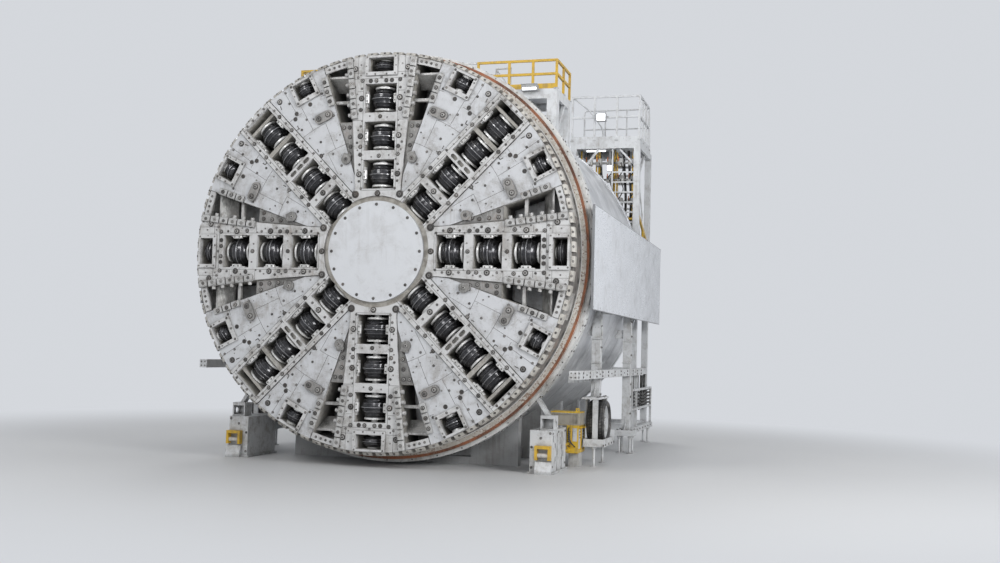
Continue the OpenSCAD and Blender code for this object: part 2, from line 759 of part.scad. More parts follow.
module flange_ring() color("white") body_frame() difference() {
    union() {
        ring_y(flange_ring_r, skin_in, band_y1, ring_y1);
        ring_y(shield_r, skin_in, band_y1, ring_y1);
    }
    for (i = [0:ring_slot_n - 1]) rotate([0, i * 360 / ring_slot_n, 0])
        translate([flange_ring_r - ring_slot_d, band_y1 + flange_ring_len / 2, 0]) rotate([0, 90, 0]) {
            translate([-55, -ring_slot_w / 2, 0]) cube([110, ring_slot_w, ring_slot_d + eps]);
            for (s = [-1, 1]) translate([s * 55, 0, 0])
                cylinder(r = ring_slot_w / 2, h = ring_slot_d + eps, $fn = 24);
        }
}

module shield_skin() color("silver") body_frame() {
    difference() {
        union() {
            tube_y(shield_r, ring_y1, shield_end);
            tube_y(shield_r + 30, shield_end - 130, shield_end);
        }
        tube_y(skin_in, ring_y1 - eps, shield_end + eps);
    }
}

module bulkhead() color("white") body_frame() {
    difference() {
        union() {
            tube_y(skin_in - seat, band_y1, band_y1 + bulkhead_t);
            tube_y(pedestal_r + 520, band_y1 + bulkhead_t - eps, band_y1 + bulkhead_t + 500);
            for (i = [0:motor_n - 1]) rotate([0, i * 360 / motor_n, 0])
                translate([pedestal_r + 260, 0, 0]) {
                tube_y(190, band_y1 + bulkhead_t + 499, band_y1 + bulkhead_t + 1300);
                tube_y(230, band_y1 + bulkhead_t + 499, band_y1 + bulkhead_t + 640);
            }
        }
        tube_y(pedestal_r + pedestal_gap, band_y1 - eps, band_y1 + bulkhead_t + 300);
    }
}

module thrust_places() {
    for (i = [0:thrust_n - 1]) rotate([0, (i + 0.5) * 360 / thrust_n, 0]) translate([thrust_at_r, 0, 0])
        children();
}

module thrust_barrels() color("lightgray") body_frame() difference() {
    union() {
        thrust_places() tube_y(thrust_r, thrust_y0, thrust_y1);
        intersection() {
            thrust_places() for (y = [thrust_y0 + 200, thrust_y1 - 260])
                translate([0, y, -90]) cube([skin_in - thrust_at_r + 40, 120, 180]);
            tube_y(skin_in - seat, thrust_y0, thrust_y1, fine_fn);
        }
    }
    thrust_places() tube_y(thrust_rod_r + rod_gap, thrust_y0 + 300, thrust_y1 + eps);
}

module thrust_rods() color("silver") body_frame() thrust_places() {
    tube_y(thrust_rod_r, thrust_y1 - thrust_stroke - 300, thrust_y1 + 200);
    tube_y(thrust_r + 20, thrust_y1 + 199, thrust_y1 + 320);
}

module side_boards() color("white") both_sides() body_frame() {
    box([board_x - 12, board_x], [board_front, board_rear], [-board_bottom, board_top]);
    for (z = [-board_bottom, board_top - 60])
        box([board_x - board_t, board_x - 11], [board_front, board_rear], [z, z + 60]);
    for (y = [board_front, 3200, 6200, board_rear - 60])
        box([board_x - board_t, board_x - 11], [y, y + 60], [-board_bottom + 59, board_top - 59]);
    difference() {
        for (z = [-660, 540])
            box([flange_ring_r - 110, board_x - 11], [band_y1 + 90, band_y1 + 210], [z, z + 120]);
        tube_y(flange_ring_r + seat, band_y1, ring_y1, fine_fn);
    }
}

// Carriage

// Spindle with a round plate on the floor, a nut under the level z and its middle at x, y
module screw_foot(x, y, z) translate([x, y, -axis_h]) {
    cylinder(r = pad_r, h = 18, $fn = 48);
    cylinder(r = spindle_r, h = axis_h + z + eps, $fn = 32);
    translate([0, 0, axis_h + z - 45]) cylinder(r = spindle_r * 1.9, h = 46, $fn = 6);
}

module foot_boxes() color("white") both_sides() body_frame() {
    x0 = foot_x - foot_w / 2;
    x1 = foot_x + foot_w / 2;
    y1 = foot_y + foot_l;
    box([x0, x1], [foot_y, y1], [-axis_h, foot_top]);
    box([x0 - 35, x1 + 35], [foot_y - 35, y1 + 35], [-axis_h, -axis_h + 40]);
    // Ribs on the outer side
    for (y = [foot_y + foot_l * 0.35, foot_y + foot_l * 0.68])
        box([x1 - eps, x1 + 22], [y, y + 24], [-axis_h + 39, foot_top - 60]);
    // Hopper ledge under the clamp
    translate([bracket_x - 40, 0, 0]) rotate([90, 0, 90]) linear_extrude(bracket_w + 40)
        polygon([[foot_y + eps, foot_top - 590], [foot_y - 45, foot_top - 600],
            [foot_y - 115, -axis_h + 60], [foot_y - 115, -axis_h], [foot_y + eps, -axis_h]]);
    bracket();
    difference() {
        for (y = [foot_y + 220, foot_y + 320]) translate([bracket_x + 132, y, bracket_top - 20])
            rotate([0, -33, 0]) translate([-strut_w / 2, 0, 0]) cube([strut_w, 60, 700]);
        tube_y(ring_out + seat, band_y1 - 60, ring_y1 + 60, fine_fn);
    }
}

// Box on a foot, open to the front, with a round hole in its outer side
module bracket() difference() {
    x1 = bracket_x + bracket_w;
    y0 = foot_y + 140;
    y1 = y0 + bracket_l;
    box([bracket_x, x1], [y0, y1], [foot_top - eps, bracket_top]);
    box([bracket_x + bracket_t, x1 - bracket_t], [y0 - eps, y1 - bracket_t],
        [foot_top + bracket_t, bracket_top - 62]);
    translate([x1 - bracket_t - eps, (y0 + y1) / 2, foot_top + bracket_h * 0.42]) rotate([0, 90, 0])
        cylinder(r = 62, h = bracket_t + 2 * eps, $fn = 48);
}

// Clamp that hangs on the front of a foot, with a cross pin between its arms
module foot_clamps() color("gold") both_sides() body_frame() {
    x0 = foot_x - 96;
    x1 = foot_x + foot_w / 2;
    z0 = foot_top - 568;
    z1 = foot_top - 292;
    difference() {
        box([x0, x1], [foot_y - 120, foot_y], [z0, z1]);
        box([x0 + 52, x1 - 52], [foot_y - 121, foot_y + eps], [z0 - eps, z1 - 60]);
    }
    translate([x0 + 20, foot_y - 62, z0 + 90]) rotate([0, 90, 0])
        cylinder(r = 44, h = x1 - x0 - 40, $fn = 48);
}

module power_unit() color("gold") body_frame() {
    front = foot_y + foot_l + 360;
    top = -wheel_drop + 230;
    low = -wheel_drop - 620;
    x1 = axle_plate_x - 30;
    difference() {
        union() {
            box([foot_x - 192, x1 + 36], [front, front + 450], [top - 280, top]);
            box([x1 - 238, x1], [front, front + 710], [low, top - 279]);
        }
        box([foot_x - 140, x1 - 20], [front - eps, front + 30], [top - 240, top - 50]);
        box([x1 - 18, x1 + eps], [front + 60, front + 330], [low + 60, top - 340]);
        box([x1 - 18, x1 + eps], [front + 390, front + 650], [low + 60, top - 340]);
    }
    box([x1 - 220, x1 - 20], [front + 150, front + 550], [-axis_h, low + eps]);
    difference() {
        box([x1 - 60, x1 + 20], [front + 10, front + 32], [top - eps, top + 75]);
        translate([x1 - 20, front, top + 40]) rotate([-90, 0, 0]) cylinder(r = 17, h = 50, $fn = 24);
    }
    for (z = [top - 660, top - 780]) translate([x1 - 205, 0, z])
        tube_y(30, foot_y + foot_l + seat, front + eps);
}

module carriage_frame() color("white") both_sides() body_frame() {
    w = column_w / 2;
    difference() {
        union() {
            box([wheel_column_x - w, wheel_column_x + w], [wheel_y - w, wheel_y + w],
                [plate_z + plate_t, -column_top]);
            for (y = [wheel_y, column_y])
                box([shield_r - 380, frame_x], [y - 60, y + 60], [-column_top - 600, -column_top - 400]);
            for (c = [[wheel_column_x, wheel_y], [frame_x, column_y]])
                box([c[0], board_x - board_t - seat], [c[1] - 60, c[1] + 60],
                    [-column_top - 140, -column_top]);
        }
        tube_y(shield_r + seat, ring_y1, shield_end - 200, fine_fn);
    }
    box([frame_x - w, frame_x + w], [column_y - w, column_y + w], [base_z + base_h, -column_top]);
    box([frame_x - beam_w / 2, frame_x + beam_w / 2], [beam_front, tower_y - seat],
        [-beam_drop, -beam_drop + beam_h]);
    x1 = wheel_column_x - w + 30;
    difference() {
        box([x1 - low_beam_w, x1], [ring_y1 + 10, wheel_y], [-low_beam_drop, -low_beam_drop + low_beam_w]);
        for (i = [1:4]) translate([x1 + eps, ring_y1 + i * 380, -low_beam_drop + low_beam_w / 2])
            rotate([0, -90, 0]) cylinder(r = low_beam_w * 0.3, h = 60, $fn = 32);
    }
}

// Flange plate over a wheel, its two legs, and the tray under the wheel
module wheel_bays() color("white") both_sides() body_frame() {
    x0 = tyre_x - tyre_w / 2 - tray_gap - tray_t;
    x1 = tyre_x + tyre_w / 2 + tray_gap + tray_t;
    box([axle_plate_x - 40, tyre_x + 100], [wheel_y - tray_y + 10, wheel_y + tray_y - 10],
        [plate_z, plate_z + plate_t]);
    for (s = [0, 1]) translate([0, wheel_y, 0]) mirror([0, s, 0])
        box([tyre_x - 34, tyre_x + 76], [tyre_r + leg_gap, tyre_r + leg_gap + 45], [base_z, plate_z + eps]);
    difference() {
        box([x0, x1], [wheel_y - tray_y, wheel_y + tray_y], [base_z, base_z + tray_h]);
        box([x0 + tray_t, x1 - tray_t], [wheel_y - tray_y + tray_t, wheel_y + tray_y - tray_t],
            [tray_top, base_z + tray_h + eps]);
    }
    for (y = [wheel_y - tray_y + 90, wheel_y + tray_y - 90]) screw_foot(tyre_x, y, base_z);
}

// Base of the second column, the runner behind it and the cage of square tubes over the runner
module cage_frames() color("white") both_sides() body_frame() {
    box([frame_x - 225, frame_x + 215], [column_y - 260, column_y + 260], [base_z, base_z + base_h]);
    box([frame_x - runner_w / 2, frame_x + runner_w / 2], [column_y, rear_y], [base_z, base_z + runner_w]);
    c = cage_w / 2;
    for (y = [column_y + 756, column_y + 1476])
        box([frame_x - c, frame_x + c], [y - c, y + c], [base_z + runner_w - eps, -beam_drop]);
    box([frame_x - c, frame_x + c], [rear_post_y, rear_y], [base_z + runner_w - eps, -beam_drop - 340]);
    for (z = [-beam_drop - 396, -beam_drop - 870])
        box([frame_x - c, frame_x + c], [column_y + 756, rear_y], [z, z + cage_w]);
    for (y = [column_y - 170, column_y + 170]) screw_foot(frame_x - 130, y, base_z);
    for (y = [column_y - 170, column_y + 170]) screw_foot(frame_x + 130, y, base_z);
    screw_foot(frame_x, rear_y - 420, base_z);
}

// Two floor rails with saddle plates cut to the shield
module cradle() color("darkgray") both_sides() body_frame() difference() {
    y0 = ring_y1 + saddle_gap;
    y1 = shield_end - saddle_end;
    saddle_step = (y1 - saddle_t - y0) / (saddle_n - 1);
    union() {
        for (i = [0:saddle_n - 1]) let (y = y0 + i * saddle_step) {
            box([cradle_x - 400, cradle_x + 600], [y, y + saddle_t], [-axis_h, 940 - shield_r]);
            box([0, cradle_x], [y, y + saddle_t], [-axis_h, -axis_h + 150]);
        }
        box([cradle_x - 200, cradle_x + 200], [y0, y1], [-axis_h, -axis_h + 260]);
    }
    tube_y(shield_r + seat, ring_y1, shield_end, fine_fn);
}

// Plate that carries the overhung axle, the axle and its end cap
module wheel_forks() color("white") both_sides() body_frame() {
    translate([axle_plate_x - 40, wheel_y, 0]) rotate([90, 0, 90]) linear_extrude(40) {
        polygon([[-170, plate_z - seat], [170, plate_z - seat], [120, -wheel_drop], [-120, -wheel_drop]]);
        translate([0, -wheel_drop]) circle(r = 120);
    }
    translate([axle_plate_x - eps, wheel_y, -wheel_drop]) rotate([0, 90, 0])
        cylinder(r = axle_r, h = tyre_x + hub_half + 10 - axle_plate_x, $fn = 64);
    translate([tyre_x + hub_half + 6, wheel_y, -wheel_drop]) rotate([0, 90, 0])
        cylinder(r = axle_r + 26, h = 16, $fn = 48);
}

module tyre() {
    w = tyre_w / 2;
    rotate([0, 90, 0]) rotate_extrude($fn = 96)
        polygon([[rim_r, -w * 0.72], [rim_r + 45, -w * 0.96], [tyre_r - 50, -w], [tyre_r - 16, -w * 0.84],
            [tyre_r, -w * 0.60], [tyre_r, w * 0.60], [tyre_r - 16, w * 0.84], [tyre_r - 50, w],
            [rim_r + 45, w * 0.96], [rim_r, w * 0.72]]);
}

module rim() {
    rotate([0, 90, 0]) difference() {
        rotate_extrude($fn = 96) polygon([[axle_r + axle_gap, -hub_half], [hub_r, -hub_half], [hub_r, -30],
            [rim_r - 46, 10], [rim_r - 26, -tyre_w * 0.37], [rim_r - seat, -tyre_w * 0.37],
            [rim_r - seat, tyre_w * 0.37], [rim_r - 26, tyre_w * 0.37], [rim_r - 46, 50], [hub_r, 60],
            [hub_r, hub_half], [axle_r + axle_gap, hub_half]]);
        for (a = [0:45:315]) rotate([0, 0, a]) translate([(hub_r + rim_r) / 2 - 20, 0, -120])
            cylinder(r = 34, h = 240, $fn = 32);
    }
}

module wheel_place(s) body_frame() translate([s * tyre_x, wheel_y, -wheel_drop]) children();

module tyre_right() color("dimgray") wheel_place(1) tyre();
module rim_right() color("white") wheel_place(1) rim();
module tyre_left() color("dimgray") wheel_place(-1) mirror([1, 0, 0]) tyre();
module rim_left() color("white") wheel_place(-1) mirror([1, 0, 0]) rim();

// Platforms

// Deck plate on a frame of edge beams
module deck(x, y) difference() {
    box(x, y, [deck_z - deck_t, deck_z]);
    box([x[0] + 60, x[1] - 60], [y[0] + 60, y[1] - 60], [deck_z - deck_t - eps, deck_z - 40]);
}

module front_deck() color("white") both_sides() body_frame() {
    y1 = front_deck_y + front_deck_l;
    deck([front_deck_in, front_deck_out], [front_deck_y, y1]);
    difference() {
        for (y = [front_deck_y, y1 - deck_leg_w])
            box([front_deck_out - deck_leg_w, front_deck_out], [y, y + deck_leg_w],
                [front_deck_out - 500, deck_z - deck_t + eps]);
        tube_y(shield_r + seat, ring_y1, shield_end, fine_fn);
    }
    difference() {
        for (y = [front_deck_y, y1 - 120])
            box([front_deck_in, front_deck_in + 120], [y, y + 120],
                [shield_r - 700, deck_z - deck_t + eps]);
        tube_y(shield_r + seat, ring_y1, shield_end, fine_fn);
    }
}

module front_rails() color("gold") both_sides() body_frame() {
    x1 = front_deck_out;
    y1 = front_deck_y + front_deck_l;
    top = deck_z + front_rail_h;
    for (x = [1900, 2430, x1 - rail_w])
        box([x, x + rail_w], [front_deck_y, front_deck_y + rail_w], [deck_z, top]);
    difference() {
        box([1200, 1200 + rail_w], [front_deck_y, front_deck_y + rail_w], [deck_z - 230, top]);
        tube_y(shield_r + seat, ring_y1, shield_end, fine_fn);
    }
    for (z = [deck_z + front_rail_h / 2 - rail_w / 2, top - rail_w]) {
        box([1200, x1], [front_deck_y, front_deck_y + rail_w], [z, z + rail_w]);
        box([x1 - rail_w, x1], [front_deck_y, y1], [z, z + rail_w]);
    }
    for (y = [(front_deck_y + y1) / 2, y1 - rail_w]) box([x1 - rail_w, x1], [y, y + rail_w], [deck_z, top]);
    box([1900, x1], [front_deck_y, front_deck_y + 12], [deck_z, deck_z + 110]);
}

module rear_tower() color("white") both_sides() body_frame() {
    rear_leg_y = rear_y - leg_w;
    deck([tower_in, tower_out], [tower_y, tower_y + rear_deck_l]);
    box([tower_in, tower_out], [tower_y, rear_y], [low_deck_z - 100, low_deck_z]);
    for (x = [tower_in, tower_out - leg_w], y = [tower_y, rear_leg_y]) {
        box([x, x + leg_w], [y, y + leg_w], [base_z, deck_z - deck_t + eps]);
        screw_foot(x + leg_w / 2, y + leg_w / 2, base_z);
    }
    for (x = [tower_in, tower_out - leg_w]) {
        box([x, x + leg_w], [tower_y + rear_deck_l - eps, rear_y],
            [deck_z - deck_t, deck_z - deck_t + leg_w]);
        for (z = [-beam_drop, base_z]) box([x, x + leg_w], [tower_y, rear_y], [z, z + leg_w]);
    }
    for (z = [-700, 500])
        box([tower_out - eps, board_x - board_t - seat], [tower_y, tower_y + leg_w], [z, z + 120]);
    box([tower_out - eps, frame_x + beam_w / 2], [tower_y, tower_y + leg_w],
        [-beam_drop, -beam_drop + beam_h]);
    for (z = [-beam_drop, base_z], y = [tower_y, rear_leg_y])
        box([0, tower_out], [y, y + leg_w], [z, z + leg_w]);
}

module rear_rails() color("white") both_sides() body_frame() {
    top = deck_z + rear_rail_h;
    x1 = tower_out;
    for (x = [tower_in, tower_in + 600, tower_in + 1200, x1 - rail_w])
        box([x, x + rail_w], [tower_y, tower_y + rail_w], [deck_z, top]);
    for (y = [tower_y + rear_deck_l / 3, tower_y + rear_deck_l * 2 / 3, tower_y + rear_deck_l - rail_w])
        box([x1 - rail_w, x1], [y, y + rail_w], [deck_z, top]);
    for (z = [deck_z + rear_rail_h / 2, top - rail_w]) {
        box([tower_in, x1], [tower_y, tower_y + rail_w], [z, z + rail_w]);
        box([x1 - rail_w, x1], [tower_y, tower_y + rear_deck_l], [z, z + rail_w]);
    }
    box([tower_in, x1], [tower_y, tower_y + 12], [deck_z, deck_z + 110]);
}

module stairs() color("white") both_sides() body_frame() {
    under = deck_z - deck_t;
    rise = under - low_deck_z;
    run = rear_y - tower_y - stair_in - 185;
    y0 = tower_y + stair_in;
    x0 = stair_x - stair_w;
    step = [run, -rise] / (tread_n + 1);
    for (i = [1:tread_n]) box([x0, stair_x], [y0 + i * step[0] - 60, y0 + i * step[0] + 130],
        [under + i * step[1], under + i * step[1] + 30]);
    for (x = [x0 - 20, stair_x - eps]) intersection() {
        translate([x, y0, under]) rotate([-atan(rise / run), 0, 0])
            translate([0, -400, -80]) cube([20 + eps, rise + run, 180]);
        box([x, x + 30], [tower_y, rear_y], [low_deck_z + seat, under - seat]);
    }
    ladder(under);
}

// Rungs between a stile and the tower's outer leg, over the lower deck and under the level z
module ladder(z) {
    y = [tower_y + 20, tower_y + 20 + rung_w];
    x1 = tower_out - leg_w - seat;
    box([ladder_x - rung_w / 2, ladder_x + rung_w / 2], y, [low_deck_z + seat, z - seat]);
    for (v = [ladder_top : -rung_pitch : low_deck_z + rung_pitch / 2])
        box([ladder_x, x1], y, [v - rung_w / 2, v + rung_w / 2]);
}

module floodlights() color("lightgray") both_sides() body_frame() {
    box([2250, 2600], [front_deck_y - 160, front_deck_y - seat], [deck_z - 60, deck_z + 60]);
    box([tower_in + 700, tower_in + 950], [tower_y - 140, tower_y - seat], [deck_z + 500, deck_z + 700]);
}

head_drum();
head_segments();
face_arms();
face_panels();
hub_plate();
gusset_plates();
slot_bars();
rim_blocks();
gauge_frames();
edge_teeth();
cutter_saddles();
arm_cutters_1();
arm_cutters_2();
arm_cutters_3();
arm_cutters_4();
arm_cutters_5();
arm_cutters_6();
arm_cutters_7();
arm_cutters_8();
side_cutter_1();
side_cutter_2();
side_cutter_3();
side_cutter_4();
side_cutter_5();
side_cutter_6();
side_cutter_7();
side_cutter_8();
seal_band();
flange_ring();
shield_skin();
bulkhead();
thrust_barrels();
thrust_rods();
side_boards();
foot_boxes();
foot_clamps();
power_unit();
carriage_frame();
wheel_bays();
cage_frames();
cradle();
wheel_forks();
tyre_right();
rim_right();
tyre_left();
rim_left();
front_deck();
front_rails();
rear_tower();
rear_rails();
stairs();
floodlights();
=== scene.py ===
import math

import bpy
import numpy as np
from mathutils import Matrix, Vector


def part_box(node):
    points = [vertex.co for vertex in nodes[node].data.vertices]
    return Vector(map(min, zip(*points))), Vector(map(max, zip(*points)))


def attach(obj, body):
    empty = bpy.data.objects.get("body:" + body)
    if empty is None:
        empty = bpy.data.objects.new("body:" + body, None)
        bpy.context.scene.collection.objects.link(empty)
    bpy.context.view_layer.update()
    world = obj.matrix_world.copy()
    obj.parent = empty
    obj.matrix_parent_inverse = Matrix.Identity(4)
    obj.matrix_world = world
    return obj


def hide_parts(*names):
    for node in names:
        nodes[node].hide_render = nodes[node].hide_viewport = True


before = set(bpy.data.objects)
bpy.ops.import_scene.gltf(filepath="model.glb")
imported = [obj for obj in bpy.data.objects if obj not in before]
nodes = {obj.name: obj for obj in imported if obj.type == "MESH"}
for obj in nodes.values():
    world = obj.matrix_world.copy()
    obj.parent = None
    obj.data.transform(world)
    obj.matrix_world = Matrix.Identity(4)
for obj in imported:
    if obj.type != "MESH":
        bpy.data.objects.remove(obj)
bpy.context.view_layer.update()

# Places that the solids fix, in metres: r along an arm, up from the machine's axis, back from the arms' face
armLow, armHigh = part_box("face_arms")
place = dict(faceY=armLow[1], axisZ=(armLow[2] + armHigh[2]) / 2, shieldR=3.94, ringR=4.19, boardX=4.24,
             deckZ=3.73, lowDeckZ=1.03)
plane = dict(arm=0, panel=-0.025, gusset=-0.045, gaugeFrame=0.028, sideFrame=0.010)  # out from the arms' face
armAngles = [0, 90, 180, 270]
diagAngles = [45, 135, 225, 315]
sideTurn = 27  # degrees from an arm to the gauge cutter in the panel beside it
sideways = (1, 0, 0)
backward = (0, 1, 0)
upward = (0, 0, 1)
front = (0, -1, 0)
both = (-1, 1)


def spot(x, back, up):
    return np.array([x, place["faceY"] + back, place["axisZ"] + up])


# Shader maths: a socket that adds Math nodes when it is used in an expression
class Value:
    def __init__(self, shader, socket):
        self.shader, self.socket = shader, socket

    def __add__(self, other):
        return self.shader.maths("ADD", self, other)

    def __sub__(self, other):
        return self.shader.maths("SUBTRACT", self, other)

    def __rsub__(self, other):
        return self.shader.maths("SUBTRACT", other, self)

    def __mul__(self, other):
        return self.shader.maths("MULTIPLY", self, other)

    def __pow__(self, other):
        return self.shader.maths("POWER", self, other)

    def __gt__(self, other):
        return self.shader.maths("GREATER_THAN", self, other)

    def size(self):
        return self.shader.maths("ABSOLUTE", self)

    def wave(self):
        return self.shader.maths("SINE", self)

    def most(self, other):
        return self.shader.maths("MAXIMUM", self, other)

    def span(self, low, high, start=0.0, end=1.0):  # smooth step from start to end as self goes low to high
        return self.shader.node("ShaderNodeMapRange", dict(interpolation_type="SMOOTHSTEP"),
                                {0: self, 1: low, 2: high, 3: start, 4: end})

    def inside(self, low, high, soft):  # 1 between low and high, 0 outside
        return self.span(low - soft, low + soft) * (1 - self.span(high - soft, high + soft))

    __radd__ = __add__
    __rmul__ = __mul__


# The nodes of a material or of the world: one method makes them all
class Nodes:
    def __init__(self, owner):
        owner.use_nodes = True
        self.tree = owner.node_tree

    def feed(self, target, value):  # a link, or a constant on the socket itself
        if isinstance(value, Value):
            self.tree.links.new(value.socket, target)
        else:
            target.default_value = value

    def node(self, kind, settings, values, out=0):
        made = self.tree.nodes.new(kind)
        for key, value in settings.items():
            setattr(made, key, value)
        for key, value in values.items() if isinstance(values, dict) else enumerate(values):
            self.feed(made.inputs[key], value)
        return Value(self, made.outputs[out])

    def maths(self, operation, *values):
        return self.node("ShaderNodeMath", dict(operation=operation), values)

    def rays(self, first, *others):  # 1 for rays of any of these kinds
        seen = self.node("ShaderNodeLightPath", {}, {}, first)
        return seen.most(self.rays(*others)) if others else seen


class Shader(Nodes):
    def __init__(self, name):
        self.material = bpy.data.materials.new(name)
        super().__init__(self.material)
        self.surface = self.tree.nodes["Principled BSDF"]
        self.coords = self.node("ShaderNodeTexCoord", {}, {}, "Object")
        split = self.node("ShaderNodeSeparateXYZ", {}, [self.coords]).socket.node
        self.x, self.y, self.z = [Value(self, socket) for socket in split.outputs]
        self.back = self.y - float(place["faceY"])
        self.up = self.z - float(place["axisZ"])

    def stretched(self, sx, sy, sz):
        return self.node("ShaderNodeMapping", {}, {0: self.coords, 3: (sx, sy, sz)})

    def noise(self, scale, detail=4.0, rough=0.55, coords=None, bend=0.0):
        return self.node("ShaderNodeTexNoise", {}, {"Vector": coords or self.coords, "Scale": scale,
                         "Detail": detail, "Roughness": rough, "Distortion": bend})

    def cells(self, scale, out="Distance"):
        return self.node("ShaderNodeTexVoronoi", {}, {"Vector": self.coords, "Scale": scale}, out)

    def radius(self):  # distance from the machine's axis
        return (self.x * self.x + self.up * self.up) ** 0.5

    def corners(self, reach):  # ambient occlusion, 1 where the surface lies in a corner or beside something, 0 in the open: a mask for painted shade
        clear = self.node("ShaderNodeAmbientOcclusion", dict(samples=6), {"Distance": reach}, "AO")
        return 1 - clear.span(0.30, 0.96)

    def edges(self, reach):  # 1 on sharp edges: how far a rounded normal leans from the true one
        soft = self.node("ShaderNodeBevel", dict(samples=4), {"Radius": reach})
        true = self.node("ShaderNodeNewGeometry", {}, {}, "Normal")
        lean = self.node("ShaderNodeVectorMath", dict(operation="DOT_PRODUCT"), [soft, true], "Value")
        return 1 - lean.span(0.80, 0.985)

    def mix(self, factor, *pair):  # each of the two is a value or an (r, g, b)
        first, second = [c if isinstance(c, Value) else (*c, 1.0) for c in pair]
        return self.node("ShaderNodeMix", dict(data_type="RGBA"), {0: factor, 6: first, 7: second}, 2)

    def attribute(self, name):
        return self.node("ShaderNodeAttribute", dict(attribute_name=name), {}, "Fac")

    def bump(self, height, strength, distance):
        return self.node("ShaderNodeBump", {}, {"Strength": strength, "Distance": distance, "Height": height})

    def finish(self, **sockets):
        names = dict(colour="Base Color", rough="Roughness", metal="Metallic", normal="Normal",
                     coat="Coat Weight", coatRough="Coat Roughness", glow="Emission Color",
                     glowStrength="Emission Strength", specular="Specular IOR Level")
        for key, value in sockets.items():
            self.feed(self.surface.inputs[names[key]], value)
        return self.material


def toned(tone, factor, more=0):
    return [min(1, c * factor + more) for c in tone]


# White paint: clouds of grime, drips, rusty patches, chips, scratches, painted shade in corners, and worn
# edges
def whitePaint(name, tone=(0.60, 0.61, 0.625), grime=0.5, chips=0.5, drips=0.5, rust=0.3, scale=1.0,
               corners=0.0, worn=0.0, rough=0.38, zone=None):
    s = Shader(name)
    cloud = s.noise(0.8 * scale, 5, 0.6)
    patch = s.noise(3.4 * scale, 8, 0.68, bend=0.4)
    fine = s.noise(34 * scale, 5, 0.62)
    drip = s.noise(1.0, 5, 0.6, s.stretched(11 * scale, 11 * scale, 0.9 * scale))
    line = s.noise(1.0, 3, 0.5, s.stretched(7 * scale, 7 * scale, 15 * scale), 0.5)
    scratch = 1 - (line - 0.5).size().span(0.0, 0.007)
    dirty = (patch * 0.6 + cloud * 0.25 + fine * 0.15).span(0.47, 0.64)
    faint = (patch * 0.5 + cloud * 0.5).span(0.40, 0.62)
    run = drip.span(0.50, 0.72) * cloud.span(0.38, 0.60)
    tint = s.cells(8.0 * scale, out="Color")
    chip = (1 - (s.cells(8.0 * scale) + fine * 0.14).span(0.15, 0.20)) * (tint > 0.60)
    speck = (1 - (s.cells(26 * scale) + fine * 0.3).span(0.25, 0.33)) * patch.span(0.47, 0.60)
    colour = s.mix(fine * 0.4 + cloud * 0.6, toned(tone, 0.90), toned(tone, 1.10))
    colour = s.mix(faint * (grime * 0.55), colour, toned(tone, 0.68))
    colour = s.mix(dirty * (grime * 0.85), colour, (0.245, 0.222, 0.192))
    colour = s.mix(run * (drips * 0.75), colour, (0.27, 0.25, 0.225))
    colour = s.mix(run * patch.span(0.48, 0.66) * rust, colour, (0.26, 0.14, 0.075))
    colour = s.mix(scratch * patch.span(0.42, 0.60) * (0.75 * chips), colour, (0.14, 0.135, 0.13))
    colour = s.mix(chip.most(speck) * chips, colour, (0.065, 0.06, 0.055))
    if corners:
        # painted shade: darker in corners and beside other parts, patchy in strength
        dark = s.corners(0.11)
        colour = s.mix(dark * (patch.span(0.3, 0.6) * 0.5 + 0.5) * corners, colour, (0.10, 0.095, 0.085))
    if worn:
        edge = s.edges(0.014) * (patch * 0.5 + fine * 0.5).span(0.44, 0.56)
        colour = s.mix(edge * worn, colour, (0.12, 0.115, 0.11))
    if zone:
        colour = zone(s, colour)
    height = patch * 0.4 + fine * 0.25 - chip * 0.6
    return s.finish(colour=colour, rough=dirty * 0.25 + fine * 0.14 + (rough - 0.07), specular=0.45,
                    normal=s.bump(height, 0.3, 0.006))


# Worn steel: grey with darker clouds, small bright scuffs and some rust
def wornSteel(name, tone, dark, metal=0.35, rough=0.5, wear=0.4, rust=0.15, corners=0.0):
    s = Shader(name)
    cloud = s.noise(3.0, 6, 0.65)
    fine = s.noise(55, 5, 0.62)
    scuff = s.noise(1.0, 4, 0.6, s.stretched(60, 60, 9)).span(0.54, 0.64)
    colour = s.mix(cloud.span(0.36, 0.62), dark, tone)
    colour = s.mix(scuff * wear, colour, toned(tone, 1.7, 0.06))
    colour = s.mix((cloud * 0.5 + fine * 0.5).span(0.52, 0.63) * rust, colour, (0.25, 0.13, 0.07))
    if corners:
        # painted shade: darker in corners and beside other parts
        colour = s.mix(s.corners(0.08) * corners, colour, (0.05, 0.047, 0.043))
    return s.finish(colour=colour, metal=metal, rough=fine * 0.3 + (rough - 0.15),
                    normal=s.bump(fine * 0.5 + cloud * 0.5, 0.3, 0.004))


# Bolts: a dark seat and socket, which are painted shade, a paler head (attribute tone), dust in patches
def boltMetal(name, pale, dark):
    s = Shader(name)
    tone = s.attribute("tone")
    cloud = s.noise(4.0, 5, 0.65)
    fine = s.noise(70, 4, 0.6)
    colour = s.mix(tone * cloud.span(0.30, 0.62, 0.55, 1.0), dark, pale)
    colour = s.mix((cloud * 0.5 + fine * 0.5).span(0.52, 0.64) * 0.35, colour, (0.21, 0.14, 0.09))
    return s.finish(colour=colour, metal=0.35, rough=fine * 0.25 + 0.34, normal=s.bump(fine, 0.25, 0.002))
